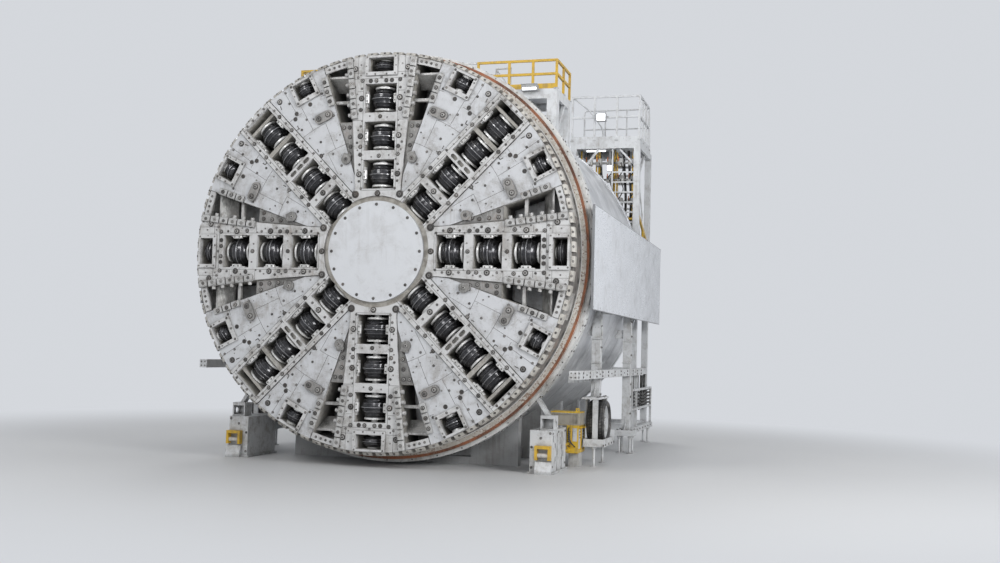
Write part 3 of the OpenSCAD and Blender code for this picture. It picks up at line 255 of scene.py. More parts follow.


# Drum steel inside the windows and slots: painted light and shade, lit grey-brown near the face and near
# black deep inside
def drumSteel(name):
    s = Shader(name)
    cloud = s.noise(2.2, 6, 0.65)
    fine = s.noise(30, 5, 0.6)
    runs = s.noise(1.0, 4, 0.6, s.stretched(14, 3, 1.5))
    outside = s.radius().span(3.895, 3.925)
    # painted light and shade: from lit near the face to near black deeper in
    near = 1 - (s.back + cloud * 0.2 - 0.1).span(0.14, 0.62)
    shade = s.mix(near, (0.018, 0.017, 0.016), (0.36, 0.345, 0.315))
    shade = s.mix(runs.span(0.45, 0.66) * near * 0.5, shade, (0.50, 0.49, 0.47))
    shade = s.mix((fine * 0.5 + cloud * 0.5).span(0.50, 0.60) * near * 0.6, shade, (0.12, 0.11, 0.10))
    outer = s.mix(cloud.span(0.35, 0.65), (0.10, 0.095, 0.09), (0.26, 0.25, 0.24))
    outer = s.mix((fine * 0.4 + cloud * 0.6).span(0.5, 0.62) * 0.6, outer, (0.20, 0.11, 0.06))
    return s.finish(colour=s.mix(outside, shade, outer), rough=fine * 0.3 + 0.45, specular=0.3,
                    normal=s.bump(fine * 0.5 + cloud, 0.3, 0.006))


# Cutter steel: near black, glossy, with paler ground bands where the discs run (attribute wear), which double
# as painted highlight lines on the ridges, and dust
def cutterSteel(name):
    s = Shader(name)
    wear = s.attribute("wear")
    cloud = s.noise(5, 6, 0.65)
    fine = s.noise(70, 4, 0.6)
    # paler ridges: partly ground wear, partly painted highlight
    groundBandsAndHighlight = (wear + (cloud - 0.5) * 0.5).span(0.45, 0.95)
    colour = s.mix(cloud.span(0.35, 0.65), (0.016, 0.016, 0.018), (0.048, 0.048, 0.053))
    colour = s.mix(groundBandsAndHighlight * 0.7, colour, (0.28, 0.28, 0.29))
    colour = s.mix((cloud * 0.6 + fine * 0.4).span(0.52, 0.64) * 0.35, colour, (0.15, 0.14, 0.125))
    return s.finish(colour=colour, metal=0.65, rough=fine * 0.11 + cloud * 0.12 + 0.12, coat=0.4,
                    coatRough=0.10, normal=s.bump(fine * 0.5 + cloud * 0.5, 0.15, 0.003))


# Seal band, from the head outwards: grey steel darkened by painted shadow, a white edge, cream with rusty
# drips, a red-brown ring
def sealBand(name):
    s = Shader(name)
    cloud = s.noise(0.9, 6, 0.65)
    patch = s.noise(5, 6, 0.65)
    fine = s.noise(24, 6, 0.65)
    streak = s.noise(1.0, 5, 0.6, s.stretched(2.0, 75, 2.0))
    ring = s.radius() + (fine - 0.5) * 0.012
    spots = (fine * 0.6 + patch * 0.4).span(0.50, 0.58)
    # grey steel, its dark tones a painted shadow beside the rim
    steel = s.mix(patch.span(0.36, 0.62), (0.10, 0.095, 0.09), (0.27, 0.26, 0.245))
    cream = s.mix(patch.span(0.36, 0.62), (0.50, 0.465, 0.41), (0.68, 0.66, 0.62))
    cream = s.mix(spots * 0.75, cream, (0.24, 0.135, 0.075))
    cream = s.mix(fine.span(0.60, 0.66) * 0.8, cream, (0.06, 0.05, 0.045))
    rusty = s.mix(cloud.span(0.42, 0.60), (0.115, 0.048, 0.03), (0.38, 0.14, 0.065))
    rusty = s.mix(spots * 0.5, rusty, (0.30, 0.21, 0.15))
    pale = s.mix(streak.span(0.46, 0.62), (0.66, 0.645, 0.61), (0.42, 0.36, 0.29))
    colour = s.mix(ring.span(3.958, 3.964), steel, (0.70, 0.69, 0.67))
    colour = s.mix(ring.span(3.974, 3.980), colour, cream)
    colour = s.mix(ring.span(4.060, 4.068), colour, rusty)
    colour = s.mix(s.back.span(0.826, 0.832), colour, pale)
    colour = s.mix(s.back.inside(0.880, 0.908, 0.003), colour, rusty)
    return s.finish(colour=colour, metal=0.1, rough=fine * 0.25 + 0.5,
                    normal=s.bump(fine + streak, 0.4, 0.006))


# Bright sheet steel of the shield: soft dents, brushed lines, drip marks
def shieldSheet(name):
    s = Shader(name)
    dent = s.noise(0.8, 2, 0.45, s.stretched(1.8, 0.7, 1.8))
    ripple = s.noise(1.0, 3, 0.5, s.stretched(5.0, 1.2, 5.0))
    cloud = s.noise(1.1, 6, 0.62)
    fine = s.noise(1.0, 5, 0.6, s.stretched(30, 30, 4))
    drip = s.noise(1.0, 5, 0.6, s.stretched(6, 8, 0.6))
    colour = s.mix(cloud.span(0.35, 0.65), (0.50, 0.51, 0.53), (0.72, 0.73, 0.75))
    colour = s.mix(drip.span(0.52, 0.68) * 0.35, colour, (0.30, 0.29, 0.28))
    colour = s.mix((1 - s.up.span(-3.6, -1.2)) * 0.45, colour, (0.28, 0.28, 0.27))
    return s.finish(colour=colour, metal=0.62, rough=fine * 0.14 + cloud * 0.16 + 0.24,
                    normal=s.bump(dent + ripple * 0.35 + fine * 0.012, 0.75, 0.07))


# Coloured enamel with scuffs: paint, dirt in clouds, dark chips
def enamel(name, tone, rough=0.38, dirt=0.45, zone=None):
    s = Shader(name)
    cloud = s.noise(2.5, 6, 0.65)
    fine = s.noise(45, 4, 0.6)
    chip = (1 - (s.cells(14) + fine * 0.15).span(0.14, 0.20)) * (s.cells(14, out="Color") > 0.58)
    drip = s.noise(1.0, 4, 0.6, s.stretched(16, 16, 1.4))
    colour = s.mix(fine, toned(tone, 0.90), toned(tone, 1.07))
    if zone:
        colour = zone(s, colour)
    colour = s.mix((cloud * 0.6 + drip * 0.4).span(0.46, 0.64) * dirt, colour, (0.14, 0.12, 0.10))
    colour = s.mix(chip * 0.5, colour, (0.09, 0.08, 0.075))
    return s.finish(colour=colour, rough=cloud * 0.2 + fine * 0.1 + (rough - 0.1), specular=0.45,
                    normal=s.bump(cloud * 0.3 + fine * 0.3 - chip * 0.5, 0.2, 0.004))


# Rubber: dusty black, on a tyre with grooves round the tread and rings on the walls
wheel = dict(x=3.905, back=3.255, up=-3.33, treadR=0.455, groovePitch=0.062, ringPitch=0.018, lugs=44,
             slant=22, nutX=4.0255, nutR=0.086, nuts=8)


def rubber(name, tread=False):
    s = Shader(name)
    cloud = s.noise(6, 6, 0.65)
    fine = s.noise(90, 4, 0.6)
    colour = s.mix(cloud.span(0.4, 0.62), (0.020, 0.020, 0.020), (0.062, 0.060, 0.058))
    colour = s.mix((cloud * 0.5 + fine * 0.5).span(0.50, 0.62) * 0.55, colour, (0.21, 0.195, 0.175))
    height, depth = fine, 0.003
    if tread:
        dy, dz = s.back - wheel["back"], s.up - wheel["up"]
        r = (dy * dy + dz * dz) ** 0.5
        onTread = r.span(wheel["treadR"] - 0.003, wheel["treadR"] + 0.003)
        groove = ((s.x.size() - wheel["x"]) * (2 * math.pi / wheel["groovePitch"])).wave().span(0.55, 0.85)
        turn = s.maths("ARCTAN2", dz, dy)
        lug = (turn * wheel["lugs"] + (s.x - wheel["x"]) * wheel["slant"]).wave().span(0.60, 0.85)
        rings = (r * (2 * math.pi / wheel["ringPitch"])).wave() * (1 - onTread)
        cut = groove.most(lug) * onTread
        # painted shade: the tread's grooves, which are only a bump, are made darker
        colour = s.mix(cut * 0.8, colour, (0.006, 0.006, 0.006))
        height, depth = fine * 0.1 - cut + rings * 0.12, 0.012
    return s.finish(colour=colour, rough=fine * 0.25 + (0.36 if tread else 0.5), specular=0.45,
                    normal=s.bump(height, 0.6, depth))


def lampGlass(name):
    s = Shader(name)
    colour = s.mix(s.noise(60, 2, 0.5), (0.86, 0.92, 1.0), (1, 1, 1))
    return s.finish(colour=colour, rough=0.2, glow=colour, glowStrength=4.0)


# Zones of one node that have a colour of their own
def hubStep(s, colour):  # the step round the hub plate is bare and brownish
    grain = s.noise(5, 6, 0.65)
    ring = s.mix(grain.span(0.38, 0.62), (0.27, 0.25, 0.22), (0.46, 0.44, 0.40))
    return s.mix(s.radius().span(1.0005, 1.003), colour, ring)


def ringSlots(s, colour):  # painted shade: the long slots of the flange ring are dark inside
    deep = (1 - s.radius().span(4.176, 4.186)) * s.back.inside(1.02, 1.285, 0.02)
    return s.mix(deep, colour, (0.02, 0.019, 0.018))


def motorZone(s, colour):  # drive motors behind the bulkhead are grey-blue
    grain = s.noise(4, 5, 0.6)
    motor = s.mix(grain.span(0.4, 0.62), (0.10, 0.13, 0.17), (0.19, 0.23, 0.28))
    return s.mix(s.back.span(1.640, 1.650), colour, motor)


def unitTop(s, colour):  # the power unit's foot is grey, and its top box grey-tan
    colour = s.mix(1 - s.up.span(-3.953, -3.949), colour, (0.50, 0.50, 0.49))
    return s.mix(s.up.inside(-3.375, -3.125, 0.003), colour, (0.36, 0.335, 0.285))


def clampRoller(s, colour):  # the roller in a clamp's mouth is pale
    across = s.x.size().inside(3.214, 3.420, 0.002) * s.up.inside(-3.925, -3.832, 0.002)
    return s.mix(across * (1 - (s.back > 0.8)), colour, (0.56, 0.54, 0.50))


def boardEdges(s, colour):  # a painted shadow line along the board's front, top and foot, and dark studs inside it
    # painted shadow: the gap shadow along the board's edges
    line = (s.up > 0.972).most(1 - (s.up > -1.036)).most(1 - (s.back > 0.694))
    rows = s.up.inside(0.915, 0.945, 0.003).most(s.up.inside(-1.005, -0.975, 0.003))
    studs = rows * (((s.back - 0.55) * (2 * math.pi / 0.70)).wave() > 0.991)
    return s.mix(line.most(studs) * 0.75, colour, (0.10, 0.10, 0.105))


faceWhite = whitePaint("faceWhite", tone=(0.61, 0.61, 0.61), grime=0.66, chips=0.85, drips=0.5, rust=0.25,
                       corners=0.85, worn=0.85)
panelWhite = whitePaint("panelWhite", tone=(0.60, 0.61, 0.63), grime=0.60, chips=0.85, drips=0.55, rust=0.22,
                        corners=0.85, worn=0.8)
plateWhite = whitePaint("plateWhite", tone=(0.66, 0.675, 0.70), grime=0.20, chips=0.25, drips=0.15, rust=0.05,
                        corners=0.6, zone=hubStep)
boardWhite = whitePaint("boardWhite", tone=(0.66, 0.685, 0.725), grime=0.22, chips=0.12, drips=0.3, rust=0.05,
                        rough=0.28, zone=boardEdges)
frameWhite = whitePaint("frameWhite", tone=(0.62, 0.63, 0.64), grime=0.6, chips=0.6, drips=0.6, rust=0.3,
                        scale=1.6, corners=0.7)
deckWhite = whitePaint("deckWhite", tone=(0.66, 0.675, 0.69), grime=0.35, chips=0.4, drips=0.5, rust=0.2,
                       scale=1.6, corners=0.6)
ringWhite = whitePaint("ringWhite", tone=(0.68, 0.68, 0.67), grime=0.6, chips=0.6, drips=0.6, rust=0.5,
                       scale=1.3, corners=0.15, zone=ringSlots)
motorWhite = whitePaint("motorWhite", grime=0.5, chips=0.5, drips=0.5, rust=0.3, scale=1.4, corners=0.6,
                        zone=motorZone)
toothWhite = whitePaint("toothWhite", tone=(0.50, 0.50, 0.495), grime=0.85, chips=0.8, drips=0.3, rust=0.35,
                        scale=2.2, corners=0.8, worn=0.9)
rimWhite = whitePaint("rimWhite", tone=(0.52, 0.50, 0.46), grime=0.85, chips=0.8, drips=0.4, rust=0.6,
                      scale=1.5, corners=0.8, worn=0.9)
greyPaint = enamel("greyPaint", (0.36, 0.365, 0.37), rough=0.45)
greySteel = wornSteel("greySteel", (0.28, 0.276, 0.268), (0.15, 0.146, 0.138), metal=0.25, rough=0.5,
                      wear=0.3, rust=0.25, corners=0.8)
barSteel = wornSteel("barSteel", (0.50, 0.50, 0.49), (0.20, 0.195, 0.185), metal=0.3, rough=0.45, wear=0.5,
                     rust=0.25, corners=0.6)
brightSteel = wornSteel("brightSteel", (0.74, 0.74, 0.73), (0.46, 0.455, 0.44), metal=0.25, rough=0.36,
                        wear=0.5, rust=0.10)
boltSteel = boltMetal("boltSteel", (0.40, 0.39, 0.375), (0.045, 0.042, 0.04))
boltPale = boltMetal("boltPale", (0.60, 0.60, 0.59), (0.16, 0.155, 0.15))
seamDark = wornSteel("seamDark", (0.10, 0.095, 0.09), (0.03, 0.028, 0.026), metal=0.0, rough=0.7, wear=0.2,
                     rust=0.2)
rodChrome = wornSteel("rodChrome", (0.75, 0.75, 0.76), (0.6, 0.6, 0.61), metal=0.95, rough=0.28, wear=0.2,
                      rust=0.0)
drumDark = drumSteel("drumDark")
cutterBlack = cutterSteel("cutterBlack")
sealRust = sealBand("sealRust")
shieldBright = shieldSheet("shieldBright")
yellowPaint = enamel("yellowPaint", (0.64, 0.40, 0.035), zone=clampRoller)
unitYellow = enamel("unitYellow", (0.68, 0.44, 0.03), dirt=0.6, zone=unitTop)
orangePaint = enamel("orangePaint", (0.62, 0.17, 0.03), rough=0.4, dirt=0.4)
hoseBlack = rubber("hoseBlack")
tyreBlack = rubber("tyreBlack", tread=True)
lampLight = lampGlass("lampLight")

nodeFinish = dict(
    head_drum=drumDark, head_segments=drumDark, face_arms=faceWhite, face_panels=panelWhite,
    hub_plate=plateWhite, gusset_plates=greySteel, slot_bars=barSteel, rim_blocks=rimWhite,
    gauge_frames=faceWhite, edge_teeth=toothWhite, cutter_saddles=brightSteel, seal_band=sealRust,
    flange_ring=ringWhite, shield_skin=shieldBright, bulkhead=motorWhite, thrust_barrels=greyPaint,
    thrust_rods=rodChrome, side_boards=boardWhite, foot_boxes=frameWhite, foot_clamps=yellowPaint,
    power_unit=unitYellow, carriage_frame=frameWhite, wheel_bays=frameWhite, cage_frames=frameWhite,
    cradle=greyPaint, wheel_forks=frameWhite, tyre_right=tyreBlack, tyre_left=tyreBlack,
    rim_right=frameWhite, rim_left=frameWhite, front_deck=deckWhite, front_rails=yellowPaint,
    rear_tower=deckWhite, rear_rails=deckWhite, stairs=deckWhite, floodlights=greyPaint)
for name, node in nodes.items():
    node.data.materials.clear()
    node.data.materials.append(nodeFinish.get(name, cutterBlack))
print("materials ready:", len(bpy.data.materials))


# Surfaces: rings of points joined into walls
def skin(rings, closed=False):
    # point(i, j) = rings[i][j]; quads join ring i to ring i + 1 and point j to j + 1 round the ring; closed
    # joins the last ring to the first, and otherwise a fan round its middle fills the first and the last ring
    rings = np.asarray(rings, float)
    m, k = rings.shape[:2]
    i, j = np.meshgrid(np.arange(m if closed else m - 1), np.arange(k), indexing="ij")
    ahead, beside = (i + 1) % m, (j + 1) % k
    faces = np.stack([i * k + j, i * k + beside, ahead * k + beside, ahead * k + j], -1).reshape(-1, 4)
    verts = rings.reshape(-1, 3)
    around = np.arange(k)
    ends = [] if closed else [(0, -1), (m - 1, 1)]
    for ring, order in ends:
        edge = [ring * k + around, ring * k + (around + 1) % k][::order]
        faces = np.vstack([faces, np.stack([*edge, np.full(k, len(verts)), np.full(k, -1)], -1)])
        verts = np.vstack([verts, rings[ring].mean(0)])
    return verts, faces


def lathe(profile, steps):
    # x = r cos a, y = r sin a, z = h, for each (r, h) of the profile
    a = np.linspace(0, 2 * math.pi, steps, endpoint=False)
    r, h = np.asarray(profile, float).T
    return skin(np.stack([np.outer(r, np.cos(a)), np.outer(r, np.sin(a)), np.outer(h, np.ones(steps))], -1))


def basis(axis, hint=None):
    # columns: a side, an up and the axis itself, all at right angles
    axis = np.asarray(axis, float) / np.linalg.norm(axis)
    if hint is None or abs(np.dot(hint, axis)) > 0.999 * np.linalg.norm(hint):
        hint = [0, 0, 1] if abs(axis[2]) < 0.9 else [1, 0, 0]
    side = np.asarray(hint, float) - axis * np.dot(hint, axis)
    side /= np.linalg.norm(side)
    return np.column_stack([side, np.cross(axis, side), axis])


def bar(start, end, width, height, hint=None, edge=0.004):
    # a rectangle with cut corners carried from start to end, drawn in by the edge at both ends; width lies
    # along the hint
    start, end = np.asarray(start, float), np.asarray(end, float)
    length = np.linalg.norm(end - start)
    w, h = width / 2, height / 2
    e = min(edge, w * 0.4, h * 0.4, length * 0.2)
    full = np.array([(w, h - e), (w - e, h), (e - w, h), (-w, h - e),
                     (-w, e - h), (e - w, -h), (w - e, -h), (w, e - h)])
    drawn = full * [(w - e) / w, (h - e) / h]
    rings = [np.column_stack([ring, np.full(8, z)])
             for ring, z in ((drawn, 0), (full, e), (full, length - e), (drawn, length))]
    return copies(skin(rings), [basis(end - start, hint)], [start])


def rounded(points, radius, steps=5):
    # each inner corner becomes an arc, (1-t)^2 a + 2 t (1-t) corner + t^2 b, with a and b the radius away
    points = [np.asarray(p, float) for p in points]
    path = [points[0]]
    for before, corner, after in zip(points, points[1:], points[2:]):
        back, ahead = before - corner, after - corner
        cut = min(radius, np.linalg.norm(back) * 0.45, np.linalg.norm(ahead) * 0.45)
        a = corner + back / np.linalg.norm(back) * cut
        b = corner + ahead / np.linalg.norm(ahead) * cut
        t = np.linspace(0, 1, steps)[:, None]
        path += list((1 - t) ** 2 * a + 2 * t * (1 - t) * corner + t ** 2 * b)
    return np.array(path + [points[-1]])


def tube(path, radius, sides=8):
    # centre(t) + radius (cos a, sin a) in a frame that is carried along the path without twist
    path = np.asarray(path, float)
    tangent = np.gradient(path, axis=0)
    tangent /= np.linalg.norm(tangent, axis=1)[:, None]
    side = np.cross(tangent[0], [0.3, 0.5, 0.8])
    rings = []
    a = np.linspace(0, 2 * math.pi, sides, endpoint=False)
    for centre, along in zip(path, tangent):
        side = side - along * side.dot(along)
        side /= np.linalg.norm(side)
        up = np.cross(along, side)
        rings.append(centre + radius * (np.outer(np.cos(a), side) + np.outer(np.sin(a), up)))
    return skin(rings)


def gather(shapes):
    # several shapes as one, with the face numbers moved on
    verts, faces, count = [], [], 0
    for v, f in shapes:
        verts.append(v)
        faces.append(np.where(f >= 0, f + count, -1))
        count += len(v)
    return np.vstack(verts), np.vstack(faces)


def copies(shape, frames, spots):
    # spot + frame . point, for each frame and spot, all at once
    v, f = shape
    frames, spots = np.asarray(frames, float), np.asarray(spots, float)
    verts = (np.einsum("mij,kj->mki", frames, v) + spots[:, None, :]).reshape(-1, 3)
    shift = (np.arange(len(spots)) * len(v))[:, None, None]
    return verts, np.where(f[None] >= 0, f[None] + shift, -1).reshape(-1, 4)


def mirrored(shape):
    # the same shape on the machine's other side, faces turned round so that they still point outwards
    v, f = shape
    flipped = np.where((f[:, 3] >= 0)[:, None], f[:, ::-1], f[:, [2, 1, 0, 3]])
    return gather([shape, (v * [-1, 1, 1], flipped)])


def bars(rows, hint, edge=0.004):
    # rows of (start, end, width, height), with start and end as (x, back, up)
    return [bar(spot(*start), spot(*end), width, height, hint, edge) for start, end, width, height in rows]


def pipe(points, radius, bend=0):
    # a tube through places (x, back, up), its corners rounded by the bend
    path = [spot(*p) for p in points]
    return tube(rounded(path, bend) if bend else path, radius)


def addPiece(name, shape, material, body, smoothAngle=35, attributes=None):
    verts, faces = shape
    kept = faces >= 0
    counts = kept.sum(1)
    mesh = bpy.data.meshes.new(name)
    mesh.vertices.add(len(verts))
    mesh.vertices.foreach_set("co", np.ascontiguousarray(verts, np.float32).ravel())
    mesh.loops.add(int(counts.sum()))
    mesh.loops.foreach_set("vertex_index", faces[kept].astype(np.int32))
    mesh.polygons.add(len(counts))
    mesh.polygons.foreach_set("loop_start", np.concatenate([[0], np.cumsum(counts)[:-1]]).astype(np.int32))
    mesh.update(calc_edges=True)
    for key, values in (attributes or {}).items():
        mesh.attributes.new(key, "FLOAT", "POINT").data.foreach_set("value", np.asarray(values, np.float32))
    mesh.shade_smooth()
    mesh.set_sharp_from_angle(angle=math.radians(smoothAngle))
    mesh.materials.append(material)
    made = bpy.data.objects.new(name, mesh)
    bpy.context.scene.collection.objects.link(made)
    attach(made, body)
    return made


def addBoth(name, shapes, material, smoothAngle=35):  # on both sides of the machine, as one piece
    addPiece(name, mirrored(gather(shapes)), material, "machine", smoothAngle)


# Places on the face: r along an arm, t across it, out in front of the face, all turned by the arm's angle
def onFace(angle, r, t, out):
    a = math.radians(angle)
    return np.array([r * math.cos(a) - t * math.sin(a), place["faceY"] - out,
                     place["axisZ"] + r * math.sin(a) + t * math.cos(a)])


def radial(degrees):  # the way out from the axis
    a = math.radians(degrees)
    return np.array([math.cos(a), 0, math.sin(a)])


def onRound(degrees, radius, back):
    return spot(0, back, 0) + radius * radial(degrees)


# Disc cutters: a profile turned round the arm's axis, with the ground bands marked for the shader, which
# paints them paler as wear and as painted highlight lines
cutter = dict(steps=72, length=0.38, radius=0.285, proud=0.03, bore=0.071, gaugeAt=3.728, gaugeLength=0.2,
              gaugeRadius=0.255, sideAt=3.7, sideLength=0.236, sideRadius=0.18, sideProud=0.02)
# (r, half the opening across the arm) of the windows
windows = dict(arm=[(1.536, 0.33), (2.3, 0.33), (3.06, 0.33)],
               diag=[(1.325, 0.32), (2.04, 0.325), (2.775, 0.325), (3.395, 0.325)])


def barrelShape(length, radius):
    # radius(x) by straight runs between stations (x, r, wear), with x along the axle as a share of the length
    # and r as a share of the radius
    half = [(0.500, 0.58, 0), (0.500, 0.63, 0), (0.480, 0.69, 0.1), (0.400, 0.765, 0), (0.390, 0.785, 0.3),
            (0.370, 0.79, 0.3), (0.360, 0.78, 0), (0.245, 0.865, 0), (0.232, 0.895, 0.7), (0.205, 0.90, 0.7),
            (0.192, 0.885, 0.1), (0.090, 0.905, 0), (0.055, 0.920, 0), (0.034, 0.985, 0.5), (0.022, 1.000, 1)]
    x, r, wear = np.array([(-x, r, wear) for x, r, wear in half] + half[::-1]).T
    x = np.append(x * length, [0.5 * length, -0.5 * length])
    r = np.append(r * radius, [cutter["bore"]] * 2)
    a = np.linspace(0, 2 * math.pi, cutter["steps"], endpoint=False)
    rings = np.stack([np.outer(np.ones(len(a)), x), np.outer(np.cos(a), r), np.outer(np.sin(a), r)], -1)
    return skin(rings, closed=True), np.tile(np.append(wear, [0, 0]), len(a))


def cutterSet(name, angle, spots, depth):
    axis = radial(angle)
    turned = np.column_stack([axis, front, np.cross(axis, front)])
    shapes, wears = [], []
    for r, length, radius in spots:
        shape, wear = barrelShape(length, radius)
        shapes.append(copies(shape, [turned], [onFace(angle, r, 0, depth)]))
        wears.append(wear)
    made = addPiece(name.replace("_", "") + "Barrels", gather(shapes), cutterBlack, name, 40,
                    dict(wear=np.concatenate(wears)))
    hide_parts(name)


armSpots = [(r, cutter["length"], cutter["radius"]) for r, half in windows["arm"]]
armSpots.append((cutter["gaugeAt"], cutter["gaugeLength"], cutter["gaugeRadius"]))
diagSpots = [(r, cutter["length"], cutter["radius"]) for r, half in windows["diag"]]
sideSpots = [(cutter["sideAt"], cutter["sideLength"], cutter["sideRadius"])]
for i in range(8):
    cutterSet(f"arm_cutters_{i + 1}", 45 * i, diagSpots if i % 2 else armSpots,
              cutter["proud"] - cutter["radius"])
    sideAngle = 90 * (i // 2) + (90 - sideTurn if i % 2 else sideTurn)
    cutterSet(f"side_cutter_{i + 1}", sideAngle, sideSpots, cutter["sideProud"] - cutter["sideRadius"])
print("disc cutters made")


# Bolts: turned profiles of (radius, height, tone), dark seat, paler head, dark socket; the dark seat and
# socket are painted shade
def boltShape(profile, steps):
    profile = np.array(profile)
    shape = lathe(profile[:, :2], steps)
    return shape, np.concatenate([np.repeat(profile[:, 2], steps), profile[[0, -1], 2]])


boltKinds = dict(
    big=boltShape([(0.060, -0.004, 0), (0.060, 0.005, 0.2), (0.052, 0.008, 0.1), (0.046, 0.003, 0),
                   (0.038, 0.003, 0.3), (0.037, 0.022, 1), (0.031, 0.028, 1), (0.017, 0.028, 0.9),
                   (0.015, 0.012, 0), (0.001, 0.010, 0)], 16),
    middle=boltShape([(0.043, -0.004, 0), (0.043, 0.005, 0.1), (0.036, 0.006, 0), (0.029, 0.003, 0.2),
                      (0.027, 0.019, 0.9), (0.022, 0.023, 0.8), (0.012, 0.023, 0.6), (0.010, 0.010, 0),
                      (0.001, 0.009, 0)], 14),
    small=boltShape([(0.026, -0.003, 0), (0.026, 0.004, 0.1), (0.018, 0.004, 0.2), (0.017, 0.013, 0.8),
                     (0.013, 0.016, 0.7), (0.006, 0.016, 0.3), (0.001, 0.009, 0)], 10),
    dot=boltShape([(0.016, -0.003, 0.2), (0.016, 0.006, 0.4), (0.012, 0.010, 0.6), (0.001, 0.010, 0.5)], 8),
    # a hole is a flat disc, dark in the middle: painted shade where the hole is
    hole=boltShape([(0.046, -0.004, 0.1), (0.046, 0.003, 0.4), (0.040, 0.004, 0.3), (0.037, 0.001, 0),
                    (0.001, 0.0005, 0)], 14),
    flat=boltShape([(0.036, -0.002, 0.1), (0.036, 0.0001, 0.1), (0.030, 0.00015, 0.1), (0.027, 0.0002, 0.9),
                    (0.012, 0.0003, 0.9), (0.010, 0.0002, 0.0), (0.001, 0.0002, 0.0)], 14),
    plug=boltShape([(0.031, -0.003, 0), (0.031, 0.005, 0.1), (0.025, 0.009, 0.2), (0.012, 0.009, 0.3),
                    (0.001, 0.007, 0)], 12),
    boss=boltShape([(0.074, -0.034, 0.1), (0.074, 0.006, 0.2), (0.064, 0.012, 0.15), (0.050, 0.012, 0),
                    (0.047, 0.004, 0), (0.038, 0.004, 0), (0.036, 0.020, 0.4), (0.018, 0.022, 0.3),
                    (0.001, 0.012, 0)], 16),
    stud=boltShape([(0.020, -0.002, 0.1), (0.020, 0.0006, 0.2), (0.012, 0.001, 0.7), (0.001, 0.001, 0.7)], 8),
    hex=boltShape([(0.030, -0.003, 0.5), (0.030, 0.004, 0.6), (0.019, 0.004, 0.4), (0.019, 0.016, 0.9),
                   (0.009, 0.016, 0.9), (0.009, 0.022, 0.8), (0.001, 0.022, 0.8)], 6))


def boltField(name, entries, body, material=boltSteel):
    # entries are (kind, middle of the seat, way out of the surface)
    shapes, tones = [], []
    for kind, (shape, tone) in boltKinds.items():
        mine = [(at, way) for k, at, way in entries if k == kind]
        if mine:
            shapes.append(copies(shape, [basis(way) for at, way in mine], [at for at, way in mine]))
            shade = np.where(np.sin(np.arange(len(mine)) * 2.4) > 0.25, 0.35, 1.0)  # some are darker
            tones.append(np.outer(shade, tone).ravel())
    addPiece(name, gather(shapes), material, body, 35, dict(tone=np.concatenate(tones)))


def acrossArm(angle, bolts, out, sides=(1,)):
    # for each kind its places (r, t): a bolt at each side's t, and one where t is 0
    return [(kind, onFace(angle, r, side * t, out), front) for kind, places in bolts.items()
            for r, t in places for side in (sides if t else sides[:1])]


def besideArm(angle, side, bolts, out):
    # for each kind its places (radius, degrees from the arm)
    return [(kind, onFace(angle + side * turn, r, 0, out), front) for kind, places in bolts.items()
            for r, turn in places]


faceBolts = dict(
    # (r, t) on each upright and level arm, t on both sides
    arm=dict(big=[(1.536, 0.407), (2.3, 0.407), (3.06, 0.407), (3.66, 0.56)],
             middle=[(2.087, 0.402), (1.93, 0.40), (2.83, 0.42), (3.42, 0.40), (3.41, 0.105)],
             small=[(1.395, 0.405), (1.73, 0.405), (2.5, 0.405), (3.26, 0.41), (1.25, 0.36), (2.17, 0.475),
                    (2.75, 0.49), (3.49, 0.50), (3.84, 0.62), (3.50, 0.63)],
             dot=[(1.62, 0.44), (1.83, 0.36), (2.42, 0.46), (2.60, 0.385), (2.94, 0.47), (3.15, 0.50),
                  (3.30, 0.55), (3.74, 0.44), (2.02, 0.46), (3.53, 0.44)], hole=[(3.41, 0.225)]),
    armMiddle=dict(big=[(1.150, 0)], middle=[(1.90, 0), (2.69, 0)], small=[(3.475, 0)],
                   dot=[(1.88, 0.16), (1.91, -0.21), (2.67, -0.15), (2.70, 0.22)]),
    diag=dict(big=[(1.66, 0)], middle=[(1.93, 0.385), (3.1, 0.385), (3.5, 0.385), (1.71, 0.385)],
              small=[(1.66, 0.2), (1.32, 0.385), (2.4, 0.40), (2.75, 0.392), (1.16, 0.35), (3.30, 0.39),
                     (3.68, 0.385), (3.885, 0.25), (3.885, 0.08)],
              dot=[(2.16, 0.405), (2.58, 0.38), (2.95, 0.40), (3.80, 0.36), (1.47, 0.40)]),
    # (radius, degrees from the nearest upright or level arm) on the panels and round the hub
    panel=dict(big=[(3.78, 36)], middle=[(2.30, 33.0)], hole=[(3.36, 27.3), (3.27, 34.6), (3.35, 33.2)],
               small=[(2.55, 30), (2.2, 27), (3.12, 31), (3.45, 22), (3.86, 33), (1.9, 25), (3.62, 33.6),
                      (2.92, 20.3), (3.0, 34.6)],
               dot=[(2.3, 31.5), (2.42, 22.5), (2.75, 33.6), (3.05, 28.5), (1.75, 27.5), (2.5, 20.2),
                    (1.5, 22.5)]),
    panelRim=dict(small=[(3.853, 12.4), (3.853, 14.0), (3.853, 15.6), (3.853, 17.2)]),
    hub=dict(boss=[(1.225, 22.5)]),
    # (r, t) on one side of the arm, and on both sides of a gauge cutter in a panel
    gusset=dict(middle=[(2.105, 0.632), (2.300, 0.650), (2.490, 0.665), (2.490, 0.785), (1.96, 0.655)]),
    gaugeFrame=dict(small=[(3.545, 0.30), (3.885, 0.30), (3.535, 0.12)], dot=[(3.70, 0.315)]),
    sideFrame=dict(small=[(3.485, 0.235), (3.875, 0.235), (3.475, 0)], dot=[(3.66, 0.245), (3.80, 0.240)]))


